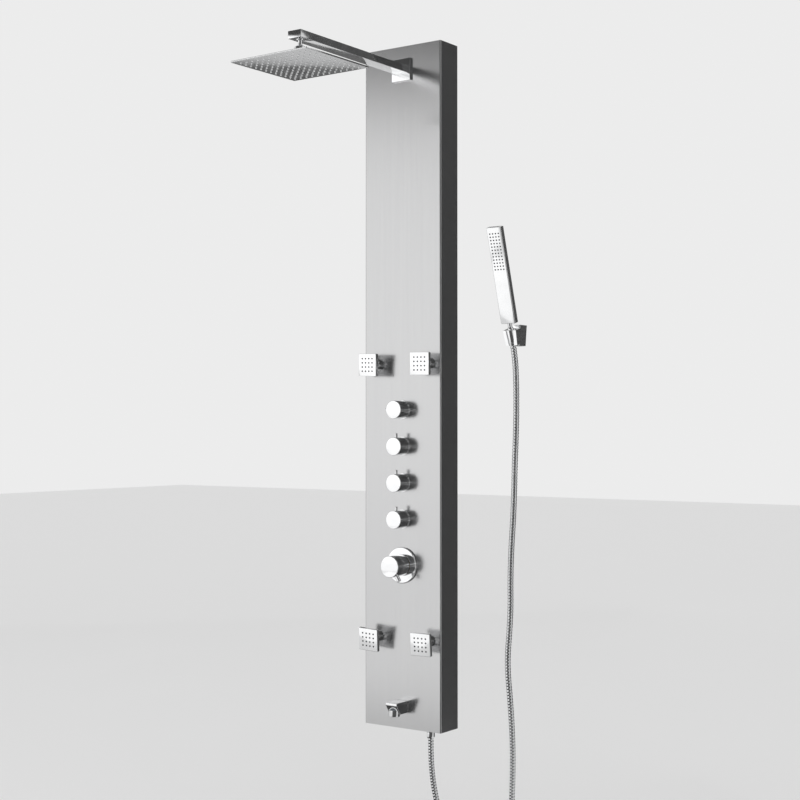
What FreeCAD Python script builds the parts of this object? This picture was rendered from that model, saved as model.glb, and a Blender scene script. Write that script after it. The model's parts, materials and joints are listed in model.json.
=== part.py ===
import FreeCAD, Part
import math
import os

# Wall-hung shower panel column: a folded stainless tray with a rain head on an arm, four body jets,
# four stop valves, a mixing valve, a tub spout, and a hand shower on its own wall bracket and hose.
# Millimetres. +X is the viewer's right, +Y goes into the wall, +Z is up.
# The origin is the middle of the upper wall bracket's screw line, on the wall.

# ---- driving dimensions: the panel tray ----
panel_height = 1524.0
panel_width = 206.0
panel_depth = 68.0
sheet = 1.2                    # thickness of the tray's sheet
fold_radius = 3.0              # outer radius of the two long front folds
return_lip = 14.0              # width of the lips folded in along the back
hang_drop = 124.0              # from the tray's top down to the upper bracket's screw line
lower_bracket_height = 100.0   # lower bracket's screw line above the tray's lower edge

arm_drop = 53.5                # from the tray's top down to the arm's middle

# ---- heights of the fittings above the tray's lower edge ----
upper_jet_height = 811.0
lower_jet_height = 198.5
jet_half_spread = 70.0
top_knob_height = 709.3
knob_pitch = 81.4
knob_count = 4
mixer_height = 362.5
spout_top_height = 62.0

# ---- wall brackets and the rails that hook on them ----
bracket_width = 160.0
bracket_plate_height = 26.0
bracket_sheet = 2.0
hook_reach = 10.0              # from the wall to the hook's front
hook_height = 12.0
rail_flange_height = 24.0
bracket_screw_spacing = 120.0
bracket_screw_radius = 3.2
hook_play = 2.0                # free space each side of the rail's lip in the hook

# ---- rain head and its arm ----
arm_width = 34.0
arm_thickness = 16.0
arm_wall = 2.0
arm_tip_y = -450.0
head_axis_y = -431.0
flange_size = 50.0
flange_thickness = 6.0
flange_play = 0.2              # gap between the arm and the flange's window
edge_break = 0.7               # chamfer on the edges of the polished pieces

head_size = 200.0
head_sheet = 1.2
head_gap = 0.9                 # water space between the two sheets
head_dome_base = 104.0
head_dome_top = 52.0
head_dome_rise = 7.0
head_nozzle_rows = 12
head_nozzle_pitch = 15.5
head_nozzle_radius = 1.7
head_nozzle_tip = 1.2
head_nozzle_length = 2.2
head_seam = 4.0                # width of the seam round the head's rim
head_face_drop = 60.5          # from the arm's centre down to the head's lower face
head_yaw = -1.0                # how far the head stands turned about its ball, degrees

ball_radius = 7.5
ball_drop = 25.5               # from the arm's centre down to the ball's centre
ball_neck_radius = 4.4
ball_bore_radius = 2.6
stud_foot_radius = 8.0
stud_foot_height = 2.0
swivel_play = 0.3              # gap all round a ball that turns
seat_slope = 40.0              # slope of the seats behind the balls, degrees
lip_slope = 25.0               # slope of the lips in front of the balls, degrees
lip_back = 0.5                 # from a ball's centre to the back of its collar's lip
cup_wall = 1.25
socket_wall = 1.1
collar_radius = 12.2
collar_lip_rise = 4.4          # how far above the ball's centre the collar grips
collar_lip_wall = 2.2

# ---- body jets ----
jet_face_size = 50.0
jet_face_thickness = 8.0
jet_face_reach = 35.5          # from the tray's front to the jet's face
jet_ball_radius = 9.0
jet_ball_reach = 5.5           # from the tray's front to the ball's centre
jet_collar_radius = 13.0
jet_collar_reach = 10.0
jet_flange_thickness = 2.0
jet_socket_wall = 1.1
jet_seat_wall = 1.0
jet_stem_radius = 5.0
jet_boss_radius = 9.0
jet_boss_foot_radius = 6.0
jet_boss_length = 8.5
jet_bore_radius = 3.0
jet_nozzle_radius = 1.6
jet_nozzle_proud = 0.7
jet_nozzle_pitch = 9.4
jet_nozzle_rows = 4

# ---- threads and nuts behind the sheet ----
thread_radius = 10.48          # outside of a G1/2 thread
thread_bore = 7.5
thread_play = 0.1
nipple_length = 14.0           # from the tray's front to the nipple's inner end
nut_flats = 27.0
nut_thickness = 5.0

# ---- stop valves and their knobs ----
knob_radius = 20.0
knob_reach = 35.0              # from the tray's front to the knob's face
knob_wall = 2.5
knob_face_wall = 3.0
knob_hub_radius = 7.0
knob_hub_length = 14.0
knob_lever_radius = 3.25
knob_lever_reach = 29.0        # from the knob's axis to the lever's tip
knob_lever_setback = 11.0      # from the knob's face to the lever's axis
lever_depth = 1.5              # how deep the levers sit in the knobs' and the handle's walls
knob_gap = 0.4                 # between the knob and its rosette
rosette_radius = 21.2
rosette_thickness = 1.6
headwork_radius = 10.0
headwork_reach = 12.0          # from the tray's front to the headwork's end
spindle_radius = 4.0
spindle_play = 0.05
spindle_foot = 5.0             # from the tray's front to the spindles' inner ends
spindle_short = 2.0            # how far they stop short of the knobs' faces
headwork_setback = 14.0        # how far the headworks start behind the valve chambers' floors
valve_nut_flats = 27.0
valve_nut_thickness = 4.0
valve_hole_play = 0.5

# ---- mixing valve ----
escutcheon_radius = 40.5
escutcheon_thickness = 5.0
handle_radius = 23.75
handle_reach = 50.0            # from the tray's front to the handle's face
handle_wall = 2.6
handle_hub_radius = 8.0
handle_hub_length = 18.0
handle_gap = 1.5               # between the handle and the escutcheon
handle_lever_radius = 4.7
handle_lever_reach = 36.8
handle_lever_setback = 12.0
handle_lever_angle = -60.0     # from +X, seen from the front, degrees
cartridge_radius = 17.0
cartridge_neck_radius = 14.0
cartridge_reach = 20.0
bonnet_radius = 20.0
bonnet_reach = 16.0
bonnet_lip = 2.5
bonnet_play = 0.2              # between the bonnet ring and the cartridge
mixer_spindle_radius = 5.0
inlet_spacing = 50.0
inlet_length = 12.0
inlet_drop = 14.5              # from the valve body's foot down to the inlets' axes
inlet_way_radius = 3.5
inlet_way_y = -42.0            # plane of the two ways from the inlets up to the mixing chamber
inlet_riser_spacing = 16.0
manifold_width = 71.0
manifold_front = -48.0
manifold_back = -25.0
manifold_wall = 1.5            # brass under the inlets
gallery_wall = 3.0

# ---- valve body and copper pipes inside the tray ----
gallery_y = -26.0              # axis of the valve body's long gallery, from the wall
gallery_radius = 11.0
gallery_bore = 7.0
pipe_y = -43.0                 # plane of the pipes and ports, from the wall
boss_radius = 14.5
chamber_floor_y = -37.5        # floor of the valve chambers, from the wall
seat_hole_radius = 5.0
mixer_boss_radius = 23.0
port_radius = 8.5
port_reach = 20.0
port_bore = 5.0
solder_play = 0.05
solder_depth = 8.0
pipe_radius = 6.0
pipe_wall = 1.0
pipe_bend = 20.0
spout_pipe_x = 42.0
hand_pipe_x = 42.0
spout_pipe_level = 130.0       # height of the spout pipe's cross run
hand_pipe_level = 110.0        # where the hand shower's pipe starts to step sideways
hand_pipe_step = 40.0
elbow_radius = 13.0
elbow_front_y = -60.0
elbow_back_y = -32.0
elbow_wall = 3.0
elbow_port_radius = 8.5
elbow_port_reach = 22.0

# ---- tub spout ----
spout_width = 30.0
spout_height = 26.0
spout_reach = 43.0
spout_under_reach = 28.5
spout_lip = 6.0
spout_mouth_radius = 12.0
spout_mouth_bore = 9.6
spout_mouth_setback = 13.0     # from the lip back to the mouth's axis
spout_mouth_drop = 31.0        # from the spout's top to the mouth's lower edge
spout_mouth_depth = 16.0
aerator_recess = 5.0           # from the mouth's lower edge up to the aerator
aerator_wall = 1.6
aerator_bar = 1.2
aerator_play = 0.05

# ---- hand shower, its bracket and its hose ----
wand_x = 270.0
wand_lean = 17.0               # degrees forward from upright
wand_foot = (-38.5, 847.2)     # y, and height above the tray's lower edge, where the hose enters its nut
wand_length = 209.0
wand_width = 35.0
wand_thickness = 14.0
wand_wall = 1.8
wand_edge = 1.2
wand_nozzle_rows = 12
wand_nozzle_columns = 4
wand_nozzle_pitch = 7.0
wand_nozzle_radius = 1.3
wand_nozzle_proud = 0.8
wand_first_row = 13.6          # from the wand's top end to its first row of nozzles
wand_neck_radius = 4.6
wand_neck_foot_radius = 6.8
wand_bore = 3.0
cone_nut_length = 34.5
cone_nut_top_radius = 11.2
cone_nut_foot_radius = 8.6
neck_length = 14.0
neck_tail = 12.0               # how far the wand's threaded tail goes down into the cone nut
neck_tail_radius = 5.5

fork_top_width = 32.0
fork_foot_width = 28.0
fork_front = 6.4               # from the wand's axis forward to the fork's face
fork_back = 15.0               # from the wand's axis back to the fork's rear
fork_start = 1.0               # along the wand's axis from where the hose enters its nut
fork_height = 32.5
fork_play = 0.3
block_width = 24.0
block_foot_width = 18.0
block_height = 45.0
block_depth = 33.0
block_centre_height = 868.5
wall_plate_width = 16.0
wall_plate_height = 36.0
wall_plate_thickness = 3.0
wall_plate_play = 0.3
wall_plate_screw_spacing = 24.0
wall_plate_screw_radius = 2.2
block_pocket_depth = 18.0

hose_radius = 6.5
hose_root_radius = 6.0         # between the ribs
hose_bore = 4.0
hose_ribs = 72
hose_plain_end = 13.0
outlet_x = 53.5
outlet_nut_length = 21.0       # from the tray's underside to the nut's lower end
outlet_nut_radius = 9.4
outlet_nut_depth = 12.0        # depth of the nut's threaded hole
outlet_thread_radius = 8.0
outlet_flange_radius = 10.4
outlet_flange_thickness = 2.0
outlet_tail_length = 24.0      # from the tray's underside up to the fitting's top
outlet_locknut_flats = 21.0
outlet_y = -34.0

# The hose's route, chosen by hand: x, y, and height above the tray's lower edge.
hose_route = [
    (53.5, -34.0, -21.0), (53.5, -34.0, -52.0), (56.0, -33.5, -96.0), (63.8, -32.5, -145.4),
    (84.5, -31.5, -217.5), (113.2, -30.5, -258.5), (153.8, -30.0, -280.1), (197.8, -30.0, -278.5),
    (235.5, -30.0, -255.9), (258.5, -30.0, -216.0), (260.5, -30.0, -126.0), (263.0, -30.0, -58.0),
    (262.5, -31.0, 8.0), (258.5, -32.5, 80.0), (253.0, -34.0, 142.0), (253.0, -34.0, 184.0),
    (258.0, -34.5, 236.0), (260.5, -34.0, 286.0), (259.5, -33.5, 338.0), (261.0, -32.5, 404.0),
    (264.8, -31.0, 467.0), (266.9, -29.5, 527.0), (267.4, -28.0, 587.0), (269.0, -26.0, 645.0),
    (269.8, -24.5, 708.0), (269.7, -25.0, 768.0), (wand_x, -29.42, 817.5), (wand_x, -38.5, 847.2),
]

# ---- how many sides the hidden and the small round pieces are drawn with ----
round_sides = 45
fine_sides = 16
plain_sides = 8
nozzle_sides = 4
bend_steps = 3

# ---- places worked out from the dimensions ----
tray_foot = hang_drop - panel_height
tray_head = tray_foot + panel_height
front_y = -panel_depth
inner_y = front_y + sheet
knob_heights = [top_knob_height - i * knob_pitch for i in range(knob_count)]
jet_places = [
    ("upper_left", -jet_half_spread, upper_jet_height, -3.0, 2.0, 1.5),
    ("upper_right", jet_half_spread, upper_jet_height, 0.0, 2.0, 1.0),
    ("lower_left", -jet_half_spread, lower_jet_height, 2.0, 7.0, 3.0),
    ("lower_right", jet_half_spread, lower_jet_height, 4.0, 6.0, 0.5),
]                              # name, x, height, then how it stands: pan, tilt down, roll in degrees
arm_z = tray_head - arm_drop
mixer_z = tray_foot + mixer_height
x_axis = FreeCAD.Vector(1, 0, 0)
y_axis = FreeCAD.Vector(0, 1, 0)
z_axis = FreeCAD.Vector(0, 0, 1)
os.makedirs("parts", exist_ok=True)


def vec(x, y, z):
    return FreeCAD.Vector(x, y, z)


def block(x0, x1, y0, y1, z0, z1):
    """A box between two corners."""
    low = vec(min(x0, x1), min(y0, y1), min(z0, z1))
    return Part.makeBox(abs(x1 - x0), abs(y1 - y0), abs(z1 - z0), low)


def rod(radius, start, end):
    """A cylinder from one point to another."""
    start, end = vec(*start), vec(*end)
    run = end - start
    return Part.makeCylinder(radius, run.Length, start, run)


def taper(start_radius, end_radius, start, end):
    """A cone frustum from one point to another."""
    start, end = vec(*start), vec(*end)
    run = end - start
    return Part.makeCone(start_radius, end_radius, run.Length, start, run)


def corners_round(sides, radius, centre, along, steady):
    """Corners of a regular polygon square to a direction, the first one towards the steady side."""
    first = steady - along * (steady.dot(along) / along.dot(along))
    first.normalize()
    second = along.cross(first)
    second.normalize()
    corners = []
    for i in range(sides):
        angle = 2 * math.pi * i / sides
        corners.append(centre + first * radius * math.cos(angle) + second * radius * math.sin(angle))
    return corners


def flat(corners):
    return Part.Face(Part.makePolygon(corners + corners[:1]))


def between(levels):
    """A solid with flat sides between outlines of equally many corners, anticlockwise seen from the last."""
    faces = [flat(levels[0][::-1]), flat(levels[-1])]
    for low, high in zip(levels, levels[1:]):
        for i in range(len(low)):
            j = (i + 1) % len(low)
            faces.append(flat([low[i], low[j], high[j], high[i]]))
    return Part.makeSolid(Part.Shell(faces))


def stack(sides, steps):
    """A straight many-sided solid through (radius, point) steps; each radius goes to the corners."""
    points = [vec(*point) for radius, point in steps]
    run = points[-1] - points[0]
    steady = x_axis if abs(run.x) < 0.7 * run.Length else y_axis
    return between([corners_round(sides, step[0], point, run, steady) for step, point in zip(steps, points)])


def bar(radius, start, end, sides=plain_sides):
    """A many-sided bar that fits in a round hole of that radius."""
    return stack(sides, [(radius, start), (radius, end)])


def hole(radius, start, end, sides=plain_sides):
    """A many-sided hole that a round bar of that radius fits in."""
    return bar(radius / math.cos(math.pi / sides), start, end, sides)


def hex_nut(flats, hole_radius, start, end):
    return hole(flats / 2, start, end, 6).cut(hole(hole_radius, start, end))


def cone_seat(radius, slope, along):
    """How wide a cone is at a distance from a ball's centre when it touches a sphere of that radius."""
    slope = math.radians(slope)
    return (radius - abs(along) * math.sin(slope)) / math.cos(slope)


def ball(radius, point_at):
    """A ball of flat facets; point_at gives the point at a distance along its axis."""
    steps = []
    for angle in (-70, -42, -14, 14, 42, 65):
        angle = math.radians(angle)
        steps.append((radius * math.cos(angle), point_at(radius * math.sin(angle))))
    return stack(fine_sides, steps)


def extruded(profile, x0, x1):
    """A side profile of (y, z) points carried from x0 to x1."""
    points = [vec(x0, y, z) for y, z in profile]
    face = Part.Face(Part.makePolygon(points + points[:1]))
    return face.extrude(vec(x1 - x0, 0, 0))


def rounded_path(points, radii):
    """Straight runs joined by tangent arcs, one radius for each inner point."""
    points = [vec(*p) for p in points]
    edges = []
    here = points[0]
    for i in range(1, len(points) - 1):
        back = points[i - 1] - points[i]
        ahead = points[i + 1] - points[i]
        back.normalize()
        ahead.normalize()
        half_turn = (math.pi - back.getAngle(ahead)) / 2
        reach = radii[i - 1] * math.tan(half_turn)
        start = points[i] + back * reach
        end = points[i] + ahead * reach
        inward = back + ahead
        inward.normalize()
        centre = points[i] + inward * (radii[i - 1] / math.cos(half_turn))
        middle = centre - inward * radii[i - 1]
        edges.append(Part.LineSegment(here, start).toShape())
        edges.append(Part.Arc(start, middle, end).toShape())
        here = end
    edges.append(Part.LineSegment(here, points[-1]).toShape())
    return Part.Wire(edges)


def swept(path, places):
    """A ruled loft through many-sided rings: places are (radius, distance along the path)."""
    edges = path.OrderedEdges
    starts = [0.0]
    for edge in edges:
        starts.append(starts[-1] + edge.Length)
    rings = []
    for radius, distance in places:
        i = 0
        while i < len(edges) - 1 and distance > starts[i + 1]:
            i += 1
        at = edges[i].getParameterByLength(min(distance - starts[i], edges[i].Length))
        corners = corners_round(plain_sides, radius, edges[i].valueAt(at), edges[i].tangentAt(at), y_axis)
        rings.append(Part.makePolygon(corners + corners[:1]))
    return Part.makeLoft(rings, True, True)


def bend_places(path, radius, steps):
    """Even places round each bend and one at each end of each straight run."""
    places = [(radius, 0.0)]
    distance = 0.0
    for edge in path.OrderedEdges:
        parts = 1 if isinstance(edge.Curve, Part.Line) else steps
        for i in range(parts):
            distance += edge.Length / parts
            places.append((radius, distance))
    return places


def pipe(points):
    """A bent copper pipe with one bend radius."""
    path = rounded_path(points, [pipe_bend] * (len(points) - 2))
    outside = swept(path, bend_places(path, pipe_radius, bend_steps))
    inside = swept(path, bend_places(path, pipe_radius - pipe_wall, bend_steps))
    return outside.cut(inside)


def softened(shape, radius, keep):
    """Rounds the edges that keep() picks."""
    edges = [edge for edge in shape.Edges if keep(edge)]
    return shape.makeFillet(radius, edges)


def broken(shape, size, keep):
    """Chamfers the edges that keep() picks."""
    edges = [edge for edge in shape.Edges if keep(edge)]
    return shape.makeChamfer(size, edges)


def save(node, *solids):
    """Writes one node's file; several solids stay separate in it."""
    shape = solids[0] if len(solids) == 1 else Part.makeCompound(list(solids))
    for solid in shape.Solids:
        if not solid.isValid():
            print("not valid:", node)
    shape.exportStep("parts/" + node + ".step")
    print(node, len(shape.Solids), round(shape.Volume))


# ---- folded tray: front, sides, top and bottom in one sheet, open at the back ----
def front_hole(x, height, radius):
    z = tray_foot + height
    return hole(radius, (x, front_y - 1, z), (x, inner_y + 1, z))


half = panel_width / 2
tray = block(-half, half, front_y, 0, tray_foot, tray_head)
tray = softened(tray, fold_radius, lambda e: abs(e.BoundBox.ZLength - panel_height) < 0.1
                and e.BoundBox.YMax < front_y + 0.1)
hollow = block(-half + sheet, half - sheet, inner_y, -sheet, tray_foot + sheet, tray_head - sheet)
hollow = softened(hollow, fold_radius - sheet, lambda e: e.BoundBox.ZLength > panel_height / 2
                  and e.BoundBox.YMax < inner_y + 0.1)
window = block(-half + return_lip, half - return_lip, -2 * sheet, 1,
               tray_foot + return_lip, tray_head - return_lip)
tray = tray.cut(hollow).cut(window)
thread_hole = thread_radius + valve_hole_play
tray = tray.cut(front_hole(0, arm_z - tray_foot, thread_hole))
for name, x, height, pan, tilt, roll in jet_places:
    tray = tray.cut(front_hole(x, height, thread_hole))
for height in knob_heights:
    tray = tray.cut(front_hole(0, height, headwork_radius + valve_hole_play))
tray = tray.cut(front_hole(0, mixer_height, bonnet_radius + valve_hole_play))
spout_middle = spout_top_height - spout_height / 2
tray = tray.cut(front_hole(0, spout_middle, thread_hole))
tray = tray.cut(hole(outlet_thread_radius + thread_play, (outlet_x, outlet_y, tray_foot - 1),
                    (outlet_x, outlet_y, tray_foot + sheet + 1)))
save("panel_tray", tray)


# ---- wall brackets and the rails welded in the tray that hook over them ----
def wall_bracket(screw_z):
    """A Z-shaped hook: screwed plate, shelf and upturned lip."""
    top = screw_z + bracket_plate_height / 2
    profile = [
        (0, screw_z - bracket_plate_height / 2), (0, top), (-hook_reach + bracket_sheet, top),
        (-hook_reach + bracket_sheet, top + hook_height), (-hook_reach, top + hook_height),
        (-hook_reach, top - bracket_sheet), (-bracket_sheet, top - bracket_sheet),
        (-bracket_sheet, screw_z - bracket_plate_height / 2),
    ]
    shape = extruded(profile, -bracket_width / 2, bracket_width / 2)
    for side in (-0.5, 0.5):
        x = side * bracket_screw_spacing
        shape = shape.cut(rod(bracket_screw_radius, (x, 1, screw_z), (x, -bracket_sheet - 1, screw_z)))
    return shape


def hook_rail(screw_z):
    """The tray's own rail: a flange on the back lips, a shelf, and a lip that drops into the hook."""
    foot = screw_z + bracket_plate_height / 2
    shelf = foot + hook_height + 2 * bracket_sheet
    lip_front = -hook_reach + bracket_sheet + hook_play
    profile = [
        (-sheet, shelf - bracket_sheet), (-sheet, shelf + rail_flange_height),
        (-sheet - bracket_sheet, shelf + rail_flange_height), (-sheet - bracket_sheet, shelf),
        (lip_front, shelf), (lip_front, foot), (lip_front + bracket_sheet, foot),
        (lip_front + bracket_sheet, shelf - bracket_sheet),
    ]
    reach = half - sheet - 0.5 * sheet
    return extruded(profile, -reach, reach)


lower_bracket_z = tray_foot + lower_bracket_height
save("wall_brackets", wall_bracket(0), wall_bracket(lower_bracket_z))
save("hook_rails", hook_rail(0), hook_rail(lower_bracket_z))


# ---- shower arm: a closed rectangular tube with a threaded tail ----
def tail(x, z):
    """A threaded tail from the tray's front to behind its sheet."""
    return bar(thread_radius, (x, front_y, z), (x, front_y + nipple_length, z))


def tail_bore(x, z, radius, reach):
    """The water way of a tail, from so far in front of the tray to past the tail's end."""
    return bar(radius, (x, front_y - reach, z), (x, front_y + nipple_length + 1, z))


half_w, half_t = arm_width / 2, arm_thickness / 2
arm = block(-half_w, half_w, arm_tip_y, front_y, arm_z - half_t, arm_z + half_t)
arm = broken(arm, edge_break, lambda e: e.BoundBox.YLength > 1 or e.BoundBox.YMax < arm_tip_y + 0.1)
arm_water = block(-half_w + arm_wall, half_w - arm_wall, arm_tip_y + arm_wall, front_y - arm_wall,
                  arm_z - half_t + arm_wall, arm_z + half_t - arm_wall)
arm_outlet = bar(ball_bore_radius, (0, head_axis_y, arm_z - half_t - 1), (0, head_axis_y, arm_z))
arm = arm.fuse(tail(0, arm_z)).cut(arm_water).cut(tail_bore(0, arm_z, half_t - arm_wall, 2 * arm_wall))
save("shower_arm", arm.cut(arm_outlet).removeSplitter())

hf = flange_size / 2
flange = block(-hf, hf, front_y - flange_thickness, front_y, arm_z - hf, arm_z + hf)
flange = broken(flange, edge_break, lambda e: e.BoundBox.YMax < front_y - flange_thickness + 0.1)
flange = flange.cut(block(-half_w - flange_play, half_w + flange_play, front_y - flange_thickness - 1, front_y + 1,
                          arm_z - half_t - flange_play, arm_z + half_t + flange_play))
save("arm_flange", flange)

# ---- ball joint under the arm ----
ball_z = arm_z - ball_drop
arm_under = arm_z - half_t


def on_head(along):
    """A point on the head's axis, so far above its ball's centre."""
    return (0, head_axis_y, ball_z + along)


stud_top = arm_under - ball_z
stud = ball(ball_radius, on_head)
stud = stud.fuse(bar(ball_neck_radius, on_head(0), on_head(stud_top - 0.5)))
stud = stud.fuse(bar(stud_foot_radius, on_head(stud_top - stud_foot_height), on_head(stud_top), fine_sides))
save("head_ball_stud", stud.cut(bar(ball_bore_radius, on_head(-ball_radius), on_head(stud_top + 1))))

# A seat ring below the ball turns with it about the upright axis, inside the cover's socket.
cup_inner = ball_radius + swivel_play
cup_outer = cup_inner + cup_wall
seat_radius = cup_outer + swivel_play
socket_outer = seat_radius + socket_wall
cup_low, cup_high = -0.92 * cup_inner, -0.33 * cup_inner


def seat_ring(inner, outer, low, high, point_at):
    """A ring with a tapered seat for a ball; its outside stays within a sphere of the outer radius."""
    outside = [(math.sqrt(outer ** 2 - a ** 2), point_at(a)) for a in (low, high)]
    inside = [(cone_seat(inner, seat_slope, a) / math.cos(math.pi / fine_sides), point_at(a))
              for a in (low - 1, high + 1)]
    return stack(fine_sides, outside).cut(stack(fine_sides, inside))


def socket_space(radius, bore, top, point_at):
    """The space a seat ring turns in: a straight bore down to a taper that ends at the water way."""
    wide = 1 / math.cos(math.pi / fine_sides)
    corner = radius * (math.sqrt(2) - 1)
    floor = radius * math.sqrt(2) - bore
    steps = [(radius * wide, point_at(top)), (radius * wide, point_at(-corner)), (bore * wide, point_at(-floor))]
    return stack(fine_sides, steps)


save("head_ball_cup", seat_ring(cup_inner, cup_outer, cup_low, cup_high, on_head))

head_face_z = arm_z - head_face_drop
head_top_z = head_face_z + 2 * head_sheet + head_gap
dome_top_z = head_top_z + head_dome_rise
socket_head = -0.1 * cup_inner


def square_at(size, z):
    s = size / 2
    return [vec(i * s, head_axis_y + j * s, z) for i, j in ((-1, -1), (1, -1), (1, 1), (-1, 1))]


def at_head_yaw(shape):
    """Turns a finished head piece as the head stands about its ball."""
    shape.rotate(vec(*on_head(0)), z_axis, head_yaw)
    return shape


hh = head_size / 2
cover_foot = head_face_z + head_sheet
cover = block(-hh, hh, head_axis_y - hh, head_axis_y + hh, cover_foot, head_top_z)
cover = broken(cover, edge_break, lambda e: e.BoundBox.ZLength > 1)
cover = cover.fuse(between([square_at(head_dome_base, head_top_z - 0.2), square_at(head_dome_top, dome_top_z)]))
cover = cover.fuse(bar(socket_outer, (0, head_axis_y, dome_top_z - head_sheet), on_head(socket_head), fine_sides))
cover = cover.cut(block(-hh + head_seam, hh - head_seam, head_axis_y - hh + head_seam, head_axis_y + hh - head_seam,
                        cover_foot - 1, head_top_z - head_sheet))
cover = cover.cut(between([square_at(head_dome_base - 3 * head_sheet, head_top_z - head_sheet - 0.2),
                           square_at(head_dome_top - 3 * head_sheet, dome_top_z - head_sheet)]))
cover = cover.cut(socket_space(seat_radius, ball_bore_radius + 1, 1, on_head))
cover = cover.cut(bar(ball_bore_radius + 1, (0, head_axis_y, cover_foot), on_head(0), fine_sides))
save("head_cover", at_head_yaw(cover))

face = block(-hh, hh, head_axis_y - hh, head_axis_y + hh, head_face_z, cover_foot)
save("head_face_plate", at_head_yaw(broken(face, edge_break, lambda e: e.BoundBox.ZLength > 0.5)))

nozzles = []
for row in range(head_nozzle_rows):
    for column in range(head_nozzle_rows):
        x = (column - (head_nozzle_rows - 1) / 2) * head_nozzle_pitch
        y = head_axis_y + (row - (head_nozzle_rows - 1) / 2) * head_nozzle_pitch
        steps = [(head_nozzle_radius, (x, y, head_face_z)), (head_nozzle_tip, (x, y, head_face_z - head_nozzle_length))]
        nozzles.append(stack(nozzle_sides, steps))
save("head_nozzles", at_head_yaw(Part.makeCompound(nozzles)))

# The collar screws on the socket and holds the ball from above with a tapered lip.
lip_mouth = cone_seat(cup_inner, lip_slope, collar_lip_rise)
collar = stack(fine_sides, [
    (collar_radius, (0, head_axis_y, dome_top_z)), (collar_radius, on_head(collar_lip_rise - 2.6)),
    (lip_mouth + collar_lip_wall, on_head(collar_lip_rise))])
collar = collar.cut(hole(socket_outer + thread_play, (0, head_axis_y, dome_top_z - 1), on_head(lip_back), fine_sides))
lip = [(cone_seat(cup_inner, lip_slope, a) / math.cos(math.pi / fine_sides), on_head(a))
       for a in (lip_back - 0.1, collar_lip_rise + 1)]
save("head_collar", at_head_yaw(collar.cut(stack(fine_sides, lip))))


# ---- body jets: socket and collar on the tray, a seat ring, and a ball-ended plate ----
def jet_point(x, z, reach):
    """A point on a jet's own axis, so far in front of its ball's centre."""
    return (x, front_y - jet_ball_reach - reach, z)


def attitude(shape, centre, pan, tilt, roll):
    """Stands a square-built jet piece as it rests: roll on its axis, tilt down, then pan."""
    shape.rotate(vec(*centre), y_axis, roll)
    shape.rotate(vec(*centre), x_axis, tilt)
    shape.rotate(vec(*centre), z_axis, pan)
    return shape


seat_inner = jet_ball_radius + swivel_play
seat_outer = seat_inner + jet_seat_wall
cavity = seat_outer + swivel_play
seat_back, seat_front = -0.8 * seat_inner, -0.38 * seat_inner
cup_edge = lip_back - 0.2
flange_back = -jet_ball_reach
flange_front = flange_back + jet_flange_thickness
collar_front = jet_collar_reach - jet_ball_reach
cup_radius = cavity + jet_socket_wall
plate_back = jet_face_reach - jet_ball_reach - jet_face_thickness
sockets = []
collars = []
nuts = []
for name, x, height, pan, tilt, roll in jet_places:
    z = tray_foot + height
    centre = jet_point(x, z, 0)


    def on_jet(along):
        return jet_point(x, z, along)


    socket = bar(jet_collar_radius, on_jet(flange_back), on_jet(flange_front), fine_sides)
    socket = socket.fuse(bar(cup_radius, on_jet(flange_front - 0.5), on_jet(cup_edge), fine_sides))
    socket = socket.fuse(tail(x, z)).cut(socket_space(cavity, thread_bore, 1, on_jet))
    sockets.append(socket.cut(hole(thread_bore, on_jet(flange_back), on_jet(-jet_ball_reach - nipple_length - 1), fine_sides)))
    collar = stack(fine_sides, [(jet_collar_radius, on_jet(flange_front)),
                                    (jet_collar_radius, on_jet(collar_front - edge_break)),
                                    (jet_collar_radius - edge_break, on_jet(collar_front))])
    collar = collar.cut(hole(cup_radius + thread_play, on_jet(flange_front - 1), on_jet(lip_back), fine_sides))
    lip = [(cone_seat(seat_inner, lip_slope, a) / math.cos(math.pi / fine_sides), on_jet(a))
           for a in (lip_back - 0.1, collar_front + 1)]
    collars.append(collar.cut(stack(fine_sides, lip)))

    seat = seat_ring(seat_inner, seat_outer, seat_back, seat_front, on_jet)
    save("jet_seat_" + name, attitude(seat, centre, pan, 0, 0))

    half_face = jet_face_size / 2
    plate_front = plate_back + jet_face_thickness
    plate = block(x - half_face, x + half_face, on_jet(plate_back)[1], on_jet(plate_front)[1], z - half_face, z + half_face)
    plate = broken(plate, edge_break, lambda e: e.BoundBox.YLength > 1 or e.BoundBox.YMax < on_jet(plate_front)[1] + 0.1)
    boss_back = plate_back - jet_boss_length
    plate = plate.fuse(stack(fine_sides, [(jet_boss_foot_radius, on_jet(boss_back)), (jet_boss_radius, on_jet(plate_back + 1))]))
    plate = plate.fuse(bar(jet_stem_radius, on_jet(0), on_jet(boss_back + 1)))
    plate = plate.fuse(ball(jet_ball_radius, on_jet))
    plate = plate.cut(bar(jet_bore_radius, on_jet(-jet_ball_radius), on_jet(plate_back + 2)))
    span = (jet_nozzle_rows - 1) / 2
    nozzles = []
    for i in range(jet_nozzle_rows):
        for j in range(jet_nozzle_rows):
            nx = x + (i - span) * jet_nozzle_pitch
            nz = z + (j - span) * jet_nozzle_pitch
            nozzles.append(bar(jet_nozzle_radius, jet_point(nx, nz, plate_front),
                               jet_point(nx, nz, plate_front + jet_nozzle_proud), nozzle_sides))
    save("jet_plate_" + name, attitude(plate, centre, pan, tilt, roll))
    save("jet_nozzles_" + name, attitude(Part.makeCompound(nozzles), centre, pan, tilt, roll))
save("jet_sockets", *sockets)
save("jet_collars", *collars)


# ---- stop valves: valve body behind the sheet, headworks through it, knobs in front ----
def ahead(z, reach):
    """A point on the tray's middle line, so far in front of the tray."""
    return (0, front_y - reach, z)


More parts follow.
